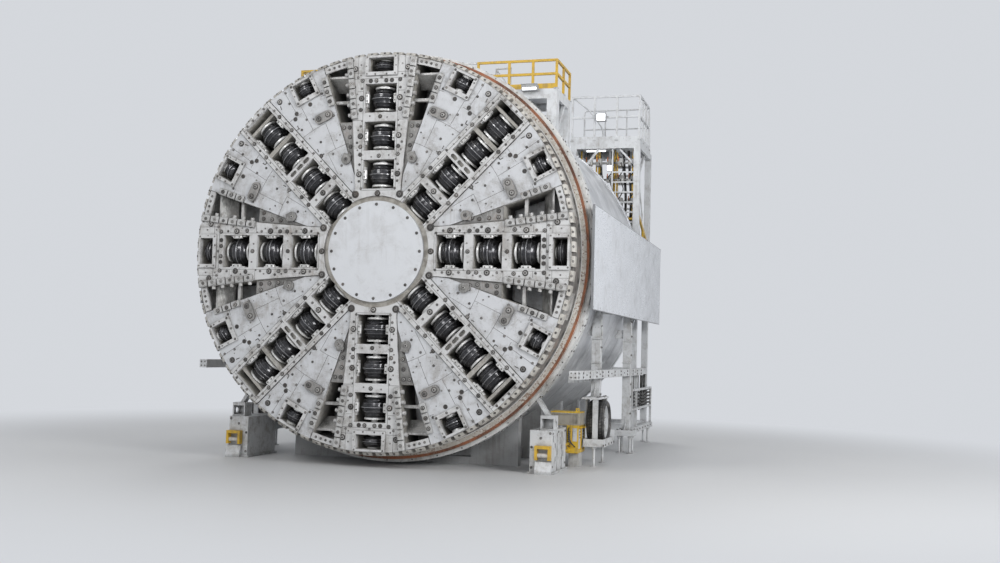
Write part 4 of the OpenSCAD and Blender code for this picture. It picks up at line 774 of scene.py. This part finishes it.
def faceEntries():
    found = []
    for angle in armAngles:
        found += acrossArm(angle, faceBolts["arm"], plane["arm"], both)
        found += acrossArm(angle, faceBolts["armMiddle"], plane["arm"])
        for side in both:
            found += besideArm(angle, side, faceBolts["panel"], plane["panel"])
            found += besideArm(angle, side, faceBolts["hub"], plane["arm"])
            found += acrossArm(angle, faceBolts["gusset"], plane["gusset"], (side,))
            found += acrossArm(angle, faceBolts["gaugeFrame"], plane["gaugeFrame"], (side,))
            found += besideArm(angle, side, faceBolts["panelRim"], plane["panel"])
            found += acrossArm(angle + side * sideTurn, faceBolts["sideFrame"], plane["sideFrame"], both)
    for angle in diagAngles:
        found += acrossArm(angle, faceBolts["diag"], plane["arm"], both)
    return found


boltField("faceBolts", faceEntries(), "cutterhead")

# Bolts in the bosses, on the two-bolt pads, the scraper teeth, the hub plate and the rim's wear blocks
boss = dict(r=1.840, t=0.700, out=-0.002)
pads = dict(radius=2.975, angle=24.2, apart=0.107, out=0.016)
tooth = dict(start=(2.6, 0.584), end=(3.93, 0.745), first=0.140, count=6, pitch=0.206, inset=0.055, out=0.045,
             panelFirst=0.470, panelCount=3, panelAngle=18.7, panelInset=0.067, panelOut=0.015)
rim = dict(count=90, radius=3.968, back=0.046, shift=0.36, hub=0.930, hubOut=0.030, hubCount=16)


def trimEntries():
    start, end = np.array(tooth["start"]), np.array(tooth["end"])
    along = (end - start) / np.linalg.norm(end - start)
    inward = along[::-1] * [1, -1]
    armTeeth = [start + (tooth["first"] + i * tooth["pitch"]) * along + tooth["inset"] * inward
                for i in range(tooth["count"])]
    panelStart = start[0] / math.cos(math.radians(tooth["panelAngle"])) + tooth["panelFirst"]
    panelTeeth = [(panelStart + i * tooth["pitch"], tooth["panelInset"]) for i in range(tooth["panelCount"])]
    found = []
    for angle in armAngles:
        for side in both:
            found += acrossArm(angle, dict(big=[(boss["r"], boss["t"])]), boss["out"], (side,))
            found += acrossArm(angle + side * pads["angle"], dict(big=[(pads["radius"], pads["apart"])]),
                               pads["out"], both)
            found += acrossArm(angle, dict(flat=armTeeth), tooth["out"], (side,))
            found += acrossArm(angle + side * tooth["panelAngle"], dict(middle=panelTeeth), tooth["panelOut"],
                               (side,))
    for i in range(rim["hubCount"]):
        found.append(("plug", onFace(360 / rim["hubCount"] * i, rim["hub"], 0, rim["hubOut"]), front))
    for i in range(rim["count"]):
        degrees = (i + rim["shift"]) * 360 / rim["count"]
        found.append(("small", onRound(degrees, rim["radius"], rim["back"]), radial(degrees) + front))
    return found


boltField("trimBolts", trimEntries(), "cutterhead")
print("bolts made")


# Seams between plates: thin dark strips on the face, straight and along arcs
seams = dict(width=0.006, wide=0.018, high=0.0016, sunk=0.004, edge=0.0006, arcSteps=6)
faceSeams = dict(
    # (r, t) to (r, t) on both sides of each upright and level arm, then of each diagonal one
    arm=[((1.22, 0.368), (3.455, 0.372)), ((3.455, 0), (3.455, 0.66)), ((3.575, 0.345), (3.575, 0.675)),
         ((2.62, 0.372), (2.62, 0.585)), ((1.92, 0.33), (1.92, 0.37)), ((1.215, 0.0), (1.215, 0.368)),
         ((3.20, 0.372), (3.20, 0.50)), ((3.455, 0.50), (3.93, 0.50))],
    diag=[((1.02, 0.355), (2.34, 0.355)), ((1.70, 0.33), (1.70, 0.44)), ((2.38, 0.335), (2.38, 0.44)),
          ((2.38, 0.375), (3.93, 0.375)), ((3.10, 0.375), (3.10, 0.44)), ((3.855, 0.0), (3.855, 0.375))],
    # (radius, from angle, to angle) and (angle, from radius, to radius) on the panels, from the nearest arm
    arcs=[(2.85, 24.6, 36.2), (2.27, 17.2, 29.4), (3.40, 19.0, 22.6), (3.30, 31.4, 37.0)],
    spokes=[(30.6, 2.85, 3.42), (29.4, 1.78, 2.27), (33.2, 3.30, 3.92), (24.6, 2.27, 2.85)],
    # short wide gaps: (radius, angle) pairs on the panels
    marks=[((3.06, 35.4), (3.06, 36.6)), ((3.06, 35.4), (3.13, 35.3)), ((2.40, 33.2), (2.47, 33.0)),
           ((3.62, 36.9), (3.70, 36.6))])


def strip(start, end, out, width=seams["width"]):
    # from one (angle, r, t) to another, in a plane at this distance out from the face
    lift = (seams["high"] - seams["sunk"]) / 2 + out
    thick = seams["high"] + seams["sunk"]
    return bar(onFace(*start, lift), onFace(*end, lift), thick, width, front, seams["edge"])


def seamShapes():
    found = [strip((angle, r0, side * t0), (angle, r1, side * t1), plane["arm"])
             for angles, key in ((armAngles, "arm"), (diagAngles, "diag")) for angle in angles
             for (r0, t0), (r1, t1) in faceSeams[key] for side in both]
    panel = []
    for r, first, last in faceSeams["arcs"]:
        steps = np.linspace(first, last, seams["arcSteps"] + 1)
        panel += [((r, a), (r, b), seams["width"]) for a, b in zip(steps, steps[1:])]
    panel += [((r0, a), (r1, a), seams["width"]) for a, r0, r1 in faceSeams["spokes"]]
    panel += [(start, end, seams["wide"]) for start, end in faceSeams["marks"]]
    found += [strip((angle + side * a0, r0, 0), (angle + side * a1, r1, 0), plane["panel"], width)
              for angle in armAngles for side in both for (r0, a0), (r1, a1), width in panel]
    return gather(found)


addPiece("faceSeams", seamShapes(), seamDark, "cutterhead")

# Clamp pads at both sides of every cutter window, next to the barrel
clampPad = dict(deep=0.067, long=0.190, back=0.095, front=0.012, gap=0.0004, edge=0.010, stud=0.05)


def padShapes():
    found, studs = [], []
    rows = [(angle, *row) for angle in armAngles for row in windows["arm"]]
    rows += [(angle, *row) for angle in diagAngles for row in windows["diag"]]
    middle = -(clampPad["back"] + clampPad["front"]) / 2
    thick = clampPad["back"] - clampPad["front"]
    for angle, r, half in rows:
        for side in both:
            t = side * (half - clampPad["gap"] - clampPad["deep"] / 2)
            ends = [onFace(angle, r + v * clampPad["long"] / 2, t, middle) for v in both]
            found.append(bar(*ends, thick, clampPad["deep"], front, clampPad["edge"]))
            studs += [("dot", onFace(angle, r + v * clampPad["stud"], t, -clampPad["front"]), front)
                      for v in both]
    return gather(found), studs


padShape, padStuds = padShapes()
addPiece("clampPads", padShape, brightSteel, "cutterhead", 30)
boltField("clampStuds", padStuds, "cutterhead")
print("seams and clamp pads made")


# Shield, flange ring and boards: bolts, weld seams and edge studs
shield = dict(ringSlots=48, frontRingR=4.155, frontRingBack=0.985, boardFront=0.68, boardRear=9.84,
              boardTop=0.984, boardLow=-1.048, studPitch=0.70, boltPitch=0.62, boltRows=[17.5, 60.0],
              welds=[2.35, 3.9, 5.5, 6.9], weldWide=0.022, weldHigh=0.004,
              # degrees of a seam on the first plate, and its turn from there to the next one
              seams=[(38, 9), (98, 7), (158, -6), (232, 8), (300, -7)], seamWide=0.020, seamHigh=0.008)


def shieldEntries():
    found = []
    step = 360 / shield["ringSlots"]
    edge = [("small", 0.5, 1.05), ("small", 0.5, 1.255), ("dot", 0.27, 1.06), ("dot", 0.74, 1.24)]
    for i in range(shield["ringSlots"]):
        found += [(kind, onRound((i + share) * step, place["ringR"], back), radial((i + share) * step))
                  for kind, share, back in edge]
        found.append(("dot", onRound(i * step, shield["frontRingR"], shield["frontRingBack"]), front))
    low, top, near, far = [shield["board" + end] for end in ("Low", "Top", "Front", "Rear")]
    studs = [(back, up) for back in np.arange(near + 0.08, far, shield["studPitch"])
             for up in (top - 0.05, low + 0.05)]
    studs += [(back, up) for up in np.linspace(low + 0.3, top - 0.3, 4) for back in (near + 0.06, far - 0.06)]
    for side in both:
        found += [("stud", spot(side * (place["boardX"] - 0.001), back, up), (side, 0, 0))
                  for back, up in studs]
        ways = [90 - side * (90 - degrees) for degrees in shield["boltRows"]]
        found += [("small", onRound(degrees, place["shieldR"], back), radial(degrees))
                  for back in np.arange(1.75, 8.0, shield["boltPitch"]) for degrees in ways]
    return found


boltField("bodyBolts", shieldEntries(), "machine")


def hoop(back, radius, width, high):
    # point(a, i) = (r cos a, h, r sin a) for each (r, h) of a flat bead that stands a little over the radius
    profile = [(radius - 0.01, -width / 2), (radius + high * 0.5, -width / 2), (radius + high, -width / 4),
               (radius + high, width / 4), (radius + high * 0.5, width / 2), (radius - 0.01, width / 2)]
    a = np.linspace(0, 2 * math.pi, 144, endpoint=False)
    r, h = np.array(profile).T
    rings = np.stack([np.outer(np.cos(a), r), np.outer(np.ones(len(a)), h), np.outer(np.sin(a), r)], -1)
    return skin(rings + spot(0, back, 0), closed=True)


def shieldWelds():
    found = [hoop(back, place["shieldR"], shield["weldWide"], shield["weldHigh"]) for back in shield["welds"]]
    for i, span in enumerate(zip(shield["welds"], shield["welds"][1:])):
        for first, turn in shield["seams"]:
            ends = [onRound(first + turn * i, place["shieldR"], back) for back in span]
            found.append(bar(*ends, shield["seamHigh"], shield["seamWide"], radial(first + turn * i), 0.002))
    return gather(found)


addPiece("shieldWelds", shieldWelds(), shieldBright, "machine")
print("shield details made")


# Carriage: bolts at the frames' joints, on the foot boxes and round the wheels
carriage = dict(frameX=3.945, wheelX=3.83, columnBack=6.5, wheelBack=3.255, columnHalf=0.095, beamHalf=0.08,
                beamRows=(-2.355, -2.275), baseUp=-3.755, plateUp=-3.6885, bayUp=-2.805, bayFoot=-3.79,
                footTop=-3.3998, footSide=3.474, footFront=0.76,
                wheelRows=(-1.0, -1.3, -1.75, -2.75), columnRows=(-1.1, -1.45, -1.9, -2.6, -2.9, -3.3),
                beamBolts=(0.52, 0.95, 1.6, 2.3, 2.95, 3.6, 4.4, 5.2, 6.1, 6.9, 7.6, 8.2))


def carriageEntries():
    # (kind, x, back, up, way) on the right side, then the same on the left one
    c = carriage
    rows = [("small", c["wheelX"] + c["columnHalf"], c["wheelBack"] + v, up, sideways)
            for up in c["wheelRows"] for v in (-0.055, 0.055)]
    rows += [("small", c["frameX"] + c["columnHalf"], c["columnBack"] + v, up, sideways)
             for up in c["columnRows"] for v in (-0.055, 0.055)]
    rows += [("small", c["frameX"] + c["beamHalf"], back, up, sideways)
             for back in c["beamBolts"] for up in c["beamRows"]]
    rows += [("dot", c["frameX"] + v, 0.4, up, front) for up in c["beamRows"] for v in (-0.04, 0.04)]
    rows += [("small", c["frameX"] + 0.065, back, c["baseUp"], sideways)
             for back in np.arange(c["columnBack"] + 0.4, 10.3, 0.45)]
    rows += [("hex", c["frameX"] + v, c["columnBack"] + w, c["plateUp"], upward)
             for v in (-0.17, -0.06, 0.06, 0.17) for w in (-0.215, 0.215)]
    rows += [("hex", 3.955, back, c["bayUp"], upward) for back in (2.78, 2.90, 3.02, 3.50, 3.62, 3.74)]
    rows += [("small", 4.123, back, c["bayFoot"], sideways) for back in (2.66, 2.9, 3.255, 3.6, 3.85)]
    rows += [("small", x, c["footFront"], c["footTop"] + up, front)
             for x, up in ((3.256, -0.15), (3.075, -0.33), (3.44, -0.05), (3.075, -0.72))]
    rows += [("small", c["footSide"], back, c["footTop"] + up, sideways)
             for back, up in ((0.84, -0.06), (1.32, -0.05), (1.90, -0.06), (0.84, -0.70), (1.9, -0.70))]
    rows += [("dot", 3.438, back, c["footTop"] + up, sideways)
             for back in (0.93, 1.15) for up in (0.04, 0.24)]
    return [(kind, spot(side * x, back, up), np.multiply(way, (side, 1, 1)))
            for side in both for kind, x, back, up, way in rows]


for side, name in ((1, "Right"), (-1, "Left")):
    turns = [math.radians(360 / wheel["nuts"] * (i + 0.5)) for i in range(wheel["nuts"])]
    nuts = [("hex", spot(side * wheel["nutX"], wheel["back"] + wheel["nutR"] * math.cos(a),
                         wheel["up"] + wheel["nutR"] * math.sin(a)), (side, 0, 0)) for a in turns]
    boltField("wheelNuts" + name, nuts, "wheel_" + name.lower(), boltPale)
boltField("carriageBolts", carriageEntries(), "machine")

# Webs and collars on the columns
webs = []
for back, x, low in ((carriage["wheelBack"], carriage["wheelX"], -2.79),
                     (carriage["columnBack"], carriage["frameX"], -3.69)):
    for v in both:
        webs += bars([((x, back + v * 0.10, low + 0.16), (x, back + v * 0.19, low + 0.002), 0.024, 0.022),
                      ((x, back + v * 0.098, low + 0.30), (x, back + v * 0.098, low + 0.002), 0.020, 0.010)],
                     sideways)
    webs += bars([((x, back, -1.58), (x, back, -1.545), 0.235, 0.235),
                  ((x, back, -2.10), (x, back, -2.075), 0.225, 0.225)], backward, 0.006)
addBoth("columnWebs", webs, frameWhite)

# Slots in the foot boxes' sides, as (back, depth below the top, height), and in the carriage's beam, drawn as
# thin dark strips: painted shade for the openings
footSlots = [(0.90, 0.10, 0.13), (1.08, 0.26, 0.10), (1.48, 0.16, 0.14), (1.08, 0.52, 0.09),
             (1.75, 0.44, 0.12)]
footX = carriage["footSide"] - 0.001
beamX = carriage["frameX"] + 0.0795
slots = bars([((footX, back, carriage["footTop"] - down), (footX, back, carriage["footTop"] - down - high),
               0.006, 0.035) for back, down, high in footSlots], sideways, 0.002)
slots += bars([((beamX, back, -2.315), (beamX, back + 0.10, -2.315), 0.003, 0.03)
               for back in (1.25, 2.62, 3.98, 5.62, 7.2)], sideways, 0.001)
addBoth("frameSlots", slots, seamDark)

# Power unit: panels in its side frames, a pale panel, a dark vent, hoses and a lever on its front
unit = dict(side=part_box("power_unit")[1][0] - 0.036, front=2.35, panels=[0.08, 0.41], panelLong=0.21,
            panelUp=-3.665, panelHigh=0.40, vents=[-3.52, -3.58, -3.64], louvres=8)


def unitSpot(inward, back, up):  # measured inwards from the unit's side and backwards from its front
    return unit["side"] - inward, unit["front"] + back, up


panels = bars([(unitSpot(0.012, back, unit["panelUp"]),
                unitSpot(0.012, back + unit["panelLong"], unit["panelUp"]), 0.008, unit["panelHigh"])
               for back in unit["panels"]], sideways, 0.003)
panels += bars([(unitSpot(0.118, -0.003, -3.57), unitSpot(0.022, -0.003, -3.57), 0.010, 0.27),
                (unitSpot(0.10, -0.012, -3.55), unitSpot(0.045, -0.012, -3.55), 0.02, 0.09)], backward, 0.003)
addPiece("unitPanels", gather(panels), frameWhite, "machine")
vents = bars([(unitSpot(0.215, -0.002, up), unitSpot(0.140, -0.002, up - 0.02), 0.008, 0.022)
              for up in np.linspace(-3.50, -3.80, unit["louvres"])], backward, 0.002)
vents += bars([(unitSpot(0.0055, back + 0.11, up), unitSpot(0.0055, back + 0.18, up), 0.004, 0.03)
               for back in unit["panels"] for up in unit["vents"]], sideways, 0.001)
addPiece("unitVents", gather(vents), seamDark, "machine")
unitHoses = [pipe([unitSpot(0.19, 0.002, -3.43), unitSpot(0.19, -0.035, -3.45),
                   unitSpot(0.19 - v, -0.05, -3.70), unitSpot(0.07, -0.04, -3.80),
                   unitSpot(0.06, 0.002, -3.82)], 0.011, 0.08) for v in (0.0, 0.035)]
addPiece("unitHoses", gather(unitHoses), hoseBlack, "machine", 50)
stalk = [unitSpot(0.004, 0.21, -3.435), unitSpot(-0.05, 0.21, -3.43), unitSpot(-0.10, 0.21, -3.415)]
grip = [unitSpot(-0.10, 0.17, -3.413), unitSpot(-0.10, 0.21, -3.412), unitSpot(-0.10, 0.25, -3.413)]
lever = [pipe(stalk, 0.011), pipe(grip, 0.014)]
lever += bars([(unitSpot(0.150, 0.002, -3.395), unitSpot(0.150, -0.005, -3.86), 0.020, 0.022)], sideways)
addPiece("unitLever", gather(lever), yellowPaint, "machine", 50)
print("carriage details made")


# Platforms: gratings on the decks, feet of the rails
deckTop = place["deckZ"]
lowTop = place["lowDeckZ"]
deck = dict(pitch=0.05, crossPitch=0.11, footWide=0.10, topRail=deckTop + 0.615, midRail=deckTop + 0.30,
            towerRail=deckTop + 1.18)


def grating(x0, x1, back0, back1, up):
    found = bars([((x, back0, up + 0.0095), (x, back1, up + 0.0095), 0.007, 0.022)
                  for x in np.arange(x0, x1, deck["pitch"])], sideways, 0.001)
    return found + bars([((x0, back, up + 0.004), (x1, back, up + 0.004), 0.008, 0.012)
                         for back in np.arange(back0, back1, deck["crossPitch"])], backward, 0.001)


gratings = grating(1.88, 2.93, 2.56, 3.74, deckTop) + grating(2.03, 3.77, 8.48, 9.93, deckTop)
gratings += grating(2.18, 3.06, 8.60, 10.2, lowTop)
addBoth("deckGratings", gratings, barSteel)

# (x, back) of the posts on the front deck, then on the tower
railPosts = [(1.925, 2.505), (2.455, 2.505), (2.975, 2.505), (2.975, 3.14), (2.975, 3.775),
             (2.025, 8.425), (2.625, 8.425), (3.225, 8.425), (3.825, 8.425), (3.825, 8.958), (3.825, 9.49),
             (3.825, 9.975)]
railFeet = bars([((x, back, deckTop + 0.001), (x, back, deckTop + 0.014), deck["footWide"], deck["footWide"])
                 for x, back in railPosts], sideways)
addBoth("railFeet", railFeet, deckWhite)

# White rails, as (places, radius, bend): beside the front deck, behind the rear deck, down the stairs
top, mid, towerTop = deck["topRail"], deck["midRail"], deck["towerRail"]
rails = [([(0.74, 2.51, 3.862), (0.74, 2.51, top), (1.21, 2.51, top)], 0.022, 0.08),
         ([(0.78, 2.51, mid + 0.04), (1.21, 2.51, mid + 0.04)], 0.018, 0.08),
         ([(1.55, 2.80, 3.52), (1.55, 2.80, top - 0.06)], 0.022, 0),
         ([(1.87, 2.80, deckTop - 0.05), (1.87, 2.80, top - 0.06)], 0.022, 0),
         ([(1.55, 2.80, top - 0.06), (1.89, 2.80, top - 0.06)], 0.022, 0),
         ([(1.55, 2.80, top - 0.08), (1.87, 2.80, deckTop + 0.12)], 0.014, 0),
         ([(2.03, 9.97, deckTop), (2.03, 9.97, towerTop - 0.03), (3.80, 9.97, towerTop - 0.03)], 0.022, 0.1),
         ([(2.03, 9.97, deckTop + 0.62), (3.80, 9.97, deckTop + 0.62)], 0.020, 0),
         ([(2.62, 9.97, deckTop), (2.62, 9.97, towerTop - 0.03)], 0.020, 0),
         ([(3.22, 9.97, deckTop), (3.22, 9.97, towerTop - 0.03)], 0.020, 0),
         ([(2.06, 8.47, towerTop - 0.02), (2.42, 8.75, towerTop - 0.30), (2.75, 9.0, deckTop + 0.42),
           (2.75, 9.0, deckTop)], 0.020, 0.12),
         ([(3.81, 9.97, towerTop), (3.81, 10.16, towerTop - 0.10), (3.81, 10.36, deckTop - 0.10),
           (3.81, 10.40, deckTop - 0.9)], 0.022, 0.15),
         ([(3.81, 9.97, deckTop + 0.60), (3.81, 10.12, deckTop + 0.50), (3.81, 10.28, deckTop - 0.15)],
          0.018, 0.12),
         ([(3.66, 8.86, 3.50), (3.66, 8.90, 3.47), (3.66, 10.20, 1.98), (3.66, 10.22, lowTop)], 0.020, 0.12),
         ([(3.66, 9.05, 2.78), (3.66, 10.20, 1.50)], 0.016, 0.1),
         ([(3.66, 9.5, 2.68), (3.66, 9.5, 1.95)], 0.016, 0)]
addBoth("whiteRails", [pipe(*row) for row in rails], deckWhite, 50)

# Braces and small beams under the decks, kick plates, the low deck's inner guard
braces = bars([((2.16, 8.44, 2.70), (2.75, 8.44, 3.515), 0.06, 0.06),
               ((3.67, 8.50, 3.12), (3.30, 8.50, 3.515), 0.05, 0.05),
               ((2.16, 8.47, 1.9), (3.10, 8.47, 1.9), 0.05, 0.06),
               ((2.10, 9.98, 3.78), (3.80, 9.98, 3.78), 0.008, 0.10)], backward)
braces += bars([((2.08, 8.60, 2.90), (2.08, 9.3, 3.515), 0.06, 0.06),
                ((3.77, 8.60, 2.75), (3.77, 9.6, 3.515), 0.06, 0.06),
                ((2.62, 8.60, 3.50), (2.62, 9.95, 3.50), 0.07, 0.09),
                ((3.24, 8.60, 3.50), (3.24, 9.95, 3.50), 0.07, 0.09),
                ((2.95, 2.72, 2.86), (2.95, 3.30, 3.515), 0.07, 0.07),
                ((2.32, 2.60, 3.50), (2.32, 3.70, 3.50), 0.07, 0.08),
                ((3.845, 8.60, 3.78), (3.845, 9.97, 3.78), 0.008, 0.10),
                ((2.08, 8.56, 2.05), (2.08, 10.29, 2.05), 0.035, 0.035),
                ((2.08, 8.56, 1.55), (2.08, 10.29, 1.55), 0.028, 0.028)], sideways)
braces += bars([((2.08, back, 1.03), (2.08, back, 2.05), 0.03, 0.03) for back in np.linspace(8.75, 10.25, 5)],
               sideways)
addBoth("deckBraces", braces, deckWhite)

# Yellow guards at the low deck's front and outer side
guards = bars([((3.15, 8.43, 1.66), (3.69, 8.43, 1.66), 0.035, 0.05),
               ((2.20, 8.43, 1.66), (3.10, 8.43, 1.66), 0.035, 0.05),
               ((2.20, 8.43, 1.24), (3.69, 8.43, 1.24), 0.012, 0.16)], backward)
guards += bars([((3.80, 8.60, 1.80), (3.80, 10.28, 1.14), 0.05, 0.09),
                ((3.80, 8.60, 1.80), (3.80, 8.60, 1.03), 0.045, 0.045),
                ((3.80, 9.45, 1.46), (3.80, 9.45, 1.03), 0.045, 0.045)], sideways)
addBoth("yellowGuards", guards, yellowPaint)
print("platform details made")


# Hydraulics behind the ladder: pipes in rows, valve blocks with handles, looping hoses
hydraulics = dict(x0=2.30, x1=3.60, back=8.88, low=1.02, high=3.54, pipes=9, jog=0.09,
                  blocks=[1.55, 2.15, 2.75, 3.2], columns=5, blockBack=8.74, blockDeep=0.13, rackBack=8.83,
                  hoseR=0.015, risers=[2.42, 2.75, 3.05, 3.38, 3.52], riserR=0.034)
x0, x1, back, low, high = [hydraulics[key] for key in ("x0", "x1", "back", "low", "high")]
pipes, loops, valves, handles = [], [], [], []
for i, x in enumerate(np.linspace(x0, x1, hydraulics["pipes"])):
    if i % 3 != 1:
        moved = x + hydraulics["jog"] * ((i * 5) % 3 - 1)
        places = [(x, back, low), (x, back, 1.9), (moved, back - 0.05, 2.1), (moved, back - 0.05, high)]
        pipes.append(pipe(places, 0.030 if i % 2 else 0.022, 0.1))
for row, up in enumerate(hydraulics["blocks"]):
    for i, x in enumerate(np.linspace(x0 + 0.05, x1 - 0.1, hydraulics["columns"])):
        wide = 0.15 + 0.03 * ((i + row) % 2)
        valves += bars([((x, hydraulics["blockBack"], up), (x + wide, hydraulics["blockBack"], up),
                         hydraulics["blockDeep"], 0.17 + 0.04 * (i % 2))], backward, 0.008)
        handles += bars([((x + 0.03, 8.665, up + 0.02), (x + 0.03, 8.655, up + 0.14), 0.02, 0.03)], sideways)
        if row:  # a hose from this block's front, down in a loop, into the front of the block below
            swing = 0.10 + 0.05 * ((i + 2 * row) % 3)
            below = hydraulics["blocks"][row - 1]
            loops.append(pipe([(x + 0.1, 8.69, up - 0.02), (x + 0.1, 8.59, up - 0.05),
                               (x + 0.15 + swing * 0.4, 8.57, (up + below) / 2),
                               (x + 0.05, 8.59, below + 0.02), (x + 0.05, 8.69, below)],
                              hydraulics["hoseR"], 0.1))
# a rack bar carries each row on the pipes
valves += bars([((x0 - 0.03, hydraulics["rackBack"], up), (x1 + 0.03, hydraulics["rackBack"], up), 0.05, 0.08)
                for up in hydraulics["blocks"]], upward)
loops += [pipe([(x, 8.93, low), (x + 0.04, 8.93, 2.2), (x - 0.05, 8.90, high)], hydraulics["riserR"], 0.3)
          for x in hydraulics["risers"]]
addBoth("pipeRows", pipes, yellowPaint, 50)
addBoth("hoseLoops", loops, hoseBlack, 50)
addBoth("valveBlocks", valves, barSteel)
addBoth("valveHandles", handles, orangePaint)

# Hoses along the cage, held to the frames, and loops that hang from the beam, as (x, back, width)
cage = dict(hoses=5, x=3.886, up=-2.80, pitch=0.09, beamUp=-2.385, loopR=0.024,
            loops=[(3.88, 7.32, 0.54), (3.80, 8.66, 0.44), (3.79, 9.18, 0.50), (3.80, 9.76, 0.46)])
cageHoses = []
for i in range(cage["hoses"]):
    x = cage["x"]
    up = cage["up"] - cage["pitch"] * i
    cageHoses.append(pipe([(3.90, 6.57, up - 0.04), (x, 6.80, up - 0.07), (x, 7.25, up), (x, 8.50, up),
                           (x, 9.40, up - 0.16 + 0.01 * i), (x, 10.25, up), (3.93, 10.42, up)],
                          0.025 + 0.003 * (i % 2), 0.35))
for x, back, wide in cage["loops"]:
    cageHoses.append(pipe([(x, back, cage["beamUp"]), (x, back + 0.01, -3.00), (x, back + wide / 2, -3.42),
                           (x, back + wide - 0.01, -3.00), (x, back + wide, cage["beamUp"])],
                          cage["loopR"], 0.25))
addBoth("cageHoses", cageHoses, hoseBlack, 50)
print("hoses and valves made")


# Floodlights: glowing lenses, hoods, brackets; strip lamps under the rear deck
lenses = bars([((2.275, 2.316, 3.700), (2.575, 2.316, 3.700), 0.012, 0.050),
               ((2.72, 8.256, 4.33), (2.93, 8.256, 4.33), 0.012, 0.165),
               ((2.42, 8.50, 3.475), (2.92, 8.50, 3.475), 0.05, 0.03),
               ((2.98, 8.52, 3.02), (3.09, 8.52, 3.02), 0.05, 0.13)], backward)
addBoth("lampLenses", lenses, lampLight)
cases = bars([((2.24, 2.330, 3.800), (2.61, 2.330, 3.800), 0.045, 0.018),
              ((2.34, 2.40, 3.79), (2.34, 2.40, 3.83), 0.03, 0.03),
              ((2.51, 2.40, 3.79), (2.51, 2.40, 3.83), 0.03, 0.03),
              ((2.70, 8.262, 4.437), (2.95, 8.262, 4.437), 0.03, 0.014),
              ((2.70, 8.262, 4.223), (2.95, 8.262, 4.223), 0.03, 0.014),
              ((2.38, 8.50, 3.500), (2.96, 8.50, 3.500), 0.07, 0.02),
              ((2.97, 8.56, 3.02), (3.10, 8.56, 3.02), 0.06, 0.16),
              ((3.035, 8.56, 3.09), (3.035, 8.56, 3.515), 0.03, 0.03)], backward)
addBoth("lampHoods", cases, greyPaint)
print("lamps made")


# Camera at the photograph's place, soft lamps, pale floor
view = dict(x=8.446, back=-20.397, up=-1.912, turn=(93.614, -1.575, 15.980), lens=40.27)
camera = bpy.data.objects.new("camera", bpy.data.cameras.new("camera"))
camera.location = spot(view["x"], view["back"], view["up"])
camera.rotation_euler = [math.radians(a) for a in view["turn"]]
camera.data.lens = view["lens"]
camera.data.clip_end = 1000
bpy.context.scene.collection.objects.link(camera)
bpy.context.scene.camera = camera

lamps = [dict(name="keyLamp", spot=(-7, -22, 17), aim=(0, -5, 4), size=7, level=0.30),
         dict(name="fillLamp", spot=(20, -14, 10), aim=(2, -2, 4), size=8, level=0.60),
         dict(name="frontLamp", spot=(6, -30, 7), aim=(0, -5, 4), size=8, level=0.15),
         dict(name="topLamp", spot=(3, 2, 24), aim=(1, 0, 4), size=10, level=0.28),
         dict(name="backLamp", spot=(-9, 18, 22), aim=(0, 2, 5), size=10, level=0.28)]
for lamp in lamps:
    data = bpy.data.lights.new(lamp["name"], "AREA")
    data.shape, data.size = "SQUARE", lamp["size"]
    away = np.array(lamp["aim"], float) - lamp["spot"]
    data.energy = lamp["level"] * math.pi ** 2 * away.dot(away)  # level 1 lights a facing white to 1
    made = bpy.data.objects.new(lamp["name"], data)
    turned = np.vstack([np.column_stack([basis(-away), lamp["spot"]]), [0, 0, 0, 1]])
    made.matrix_world = Matrix(turned.tolist())
    bpy.context.scene.collection.objects.link(made)

# The world lights the object at one strength, and is seen and mirrored at a higher one
backdrop = dict(colour=(0.92, 0.95, 1.0, 1), light=0.25, seen=0.72)
world = bpy.data.worlds.new("softLight")
bpy.context.scene.world = world
sky = Nodes(world)
background = world.node_tree.nodes["Background"]
seen = sky.rays("Is Camera Ray", "Is Glossy Ray", "Is Transmission Ray")
sky.feed(background.inputs[0], backdrop["colour"])
sky.feed(background.inputs[1], seen.span(0.0, 1.0, backdrop["light"], backdrop["seen"]))
bpy.context.scene.view_settings.view_transform = "Standard"

ground = dict(reach=140.0, fadeStart=7.5, fadeEnd=18.0)


def floorPale(name):  # the lit floor fades to the background's tone far away
    s = Shader(name)
    away = (s.x * s.x + s.y * s.y) ** 0.5
    far = away.span(ground["fadeStart"], ground["fadeEnd"]) * s.rays("Is Camera Ray", "Is Glossy Ray")
    clouds = s.mix(s.noise(0.25, 4, 0.5), (0.59, 0.595, 0.60), (0.63, 0.635, 0.64))
    s.finish(colour=clouds, rough=0.55, specular=0.3)
    tone = [c * backdrop["seen"] for c in backdrop["colour"][:3]]
    plain = s.node("ShaderNodeEmission", {}, [(*tone, 1.0), 1.0])
    mixed = s.node("ShaderNodeMixShader", {}, [far, Value(s, s.surface.outputs[0]), plain])
    s.feed(s.tree.nodes["Material Output"].inputs[0], mixed)
    return s.material


floorMesh = bpy.data.meshes.new("floor")
corners = [(x * ground["reach"], y * ground["reach"], 0) for x, y in ((-1, -1), (1, -1), (1, 1), (-1, 1))]
floorMesh.from_pydata(corners, [], [(0, 1, 2, 3)])
floorMesh.materials.append(floorPale("floorPale"))
floor = bpy.data.objects.new("floor", floorMesh)
bpy.context.scene.collection.objects.link(floor)
print("camera, lamps and floor ready")
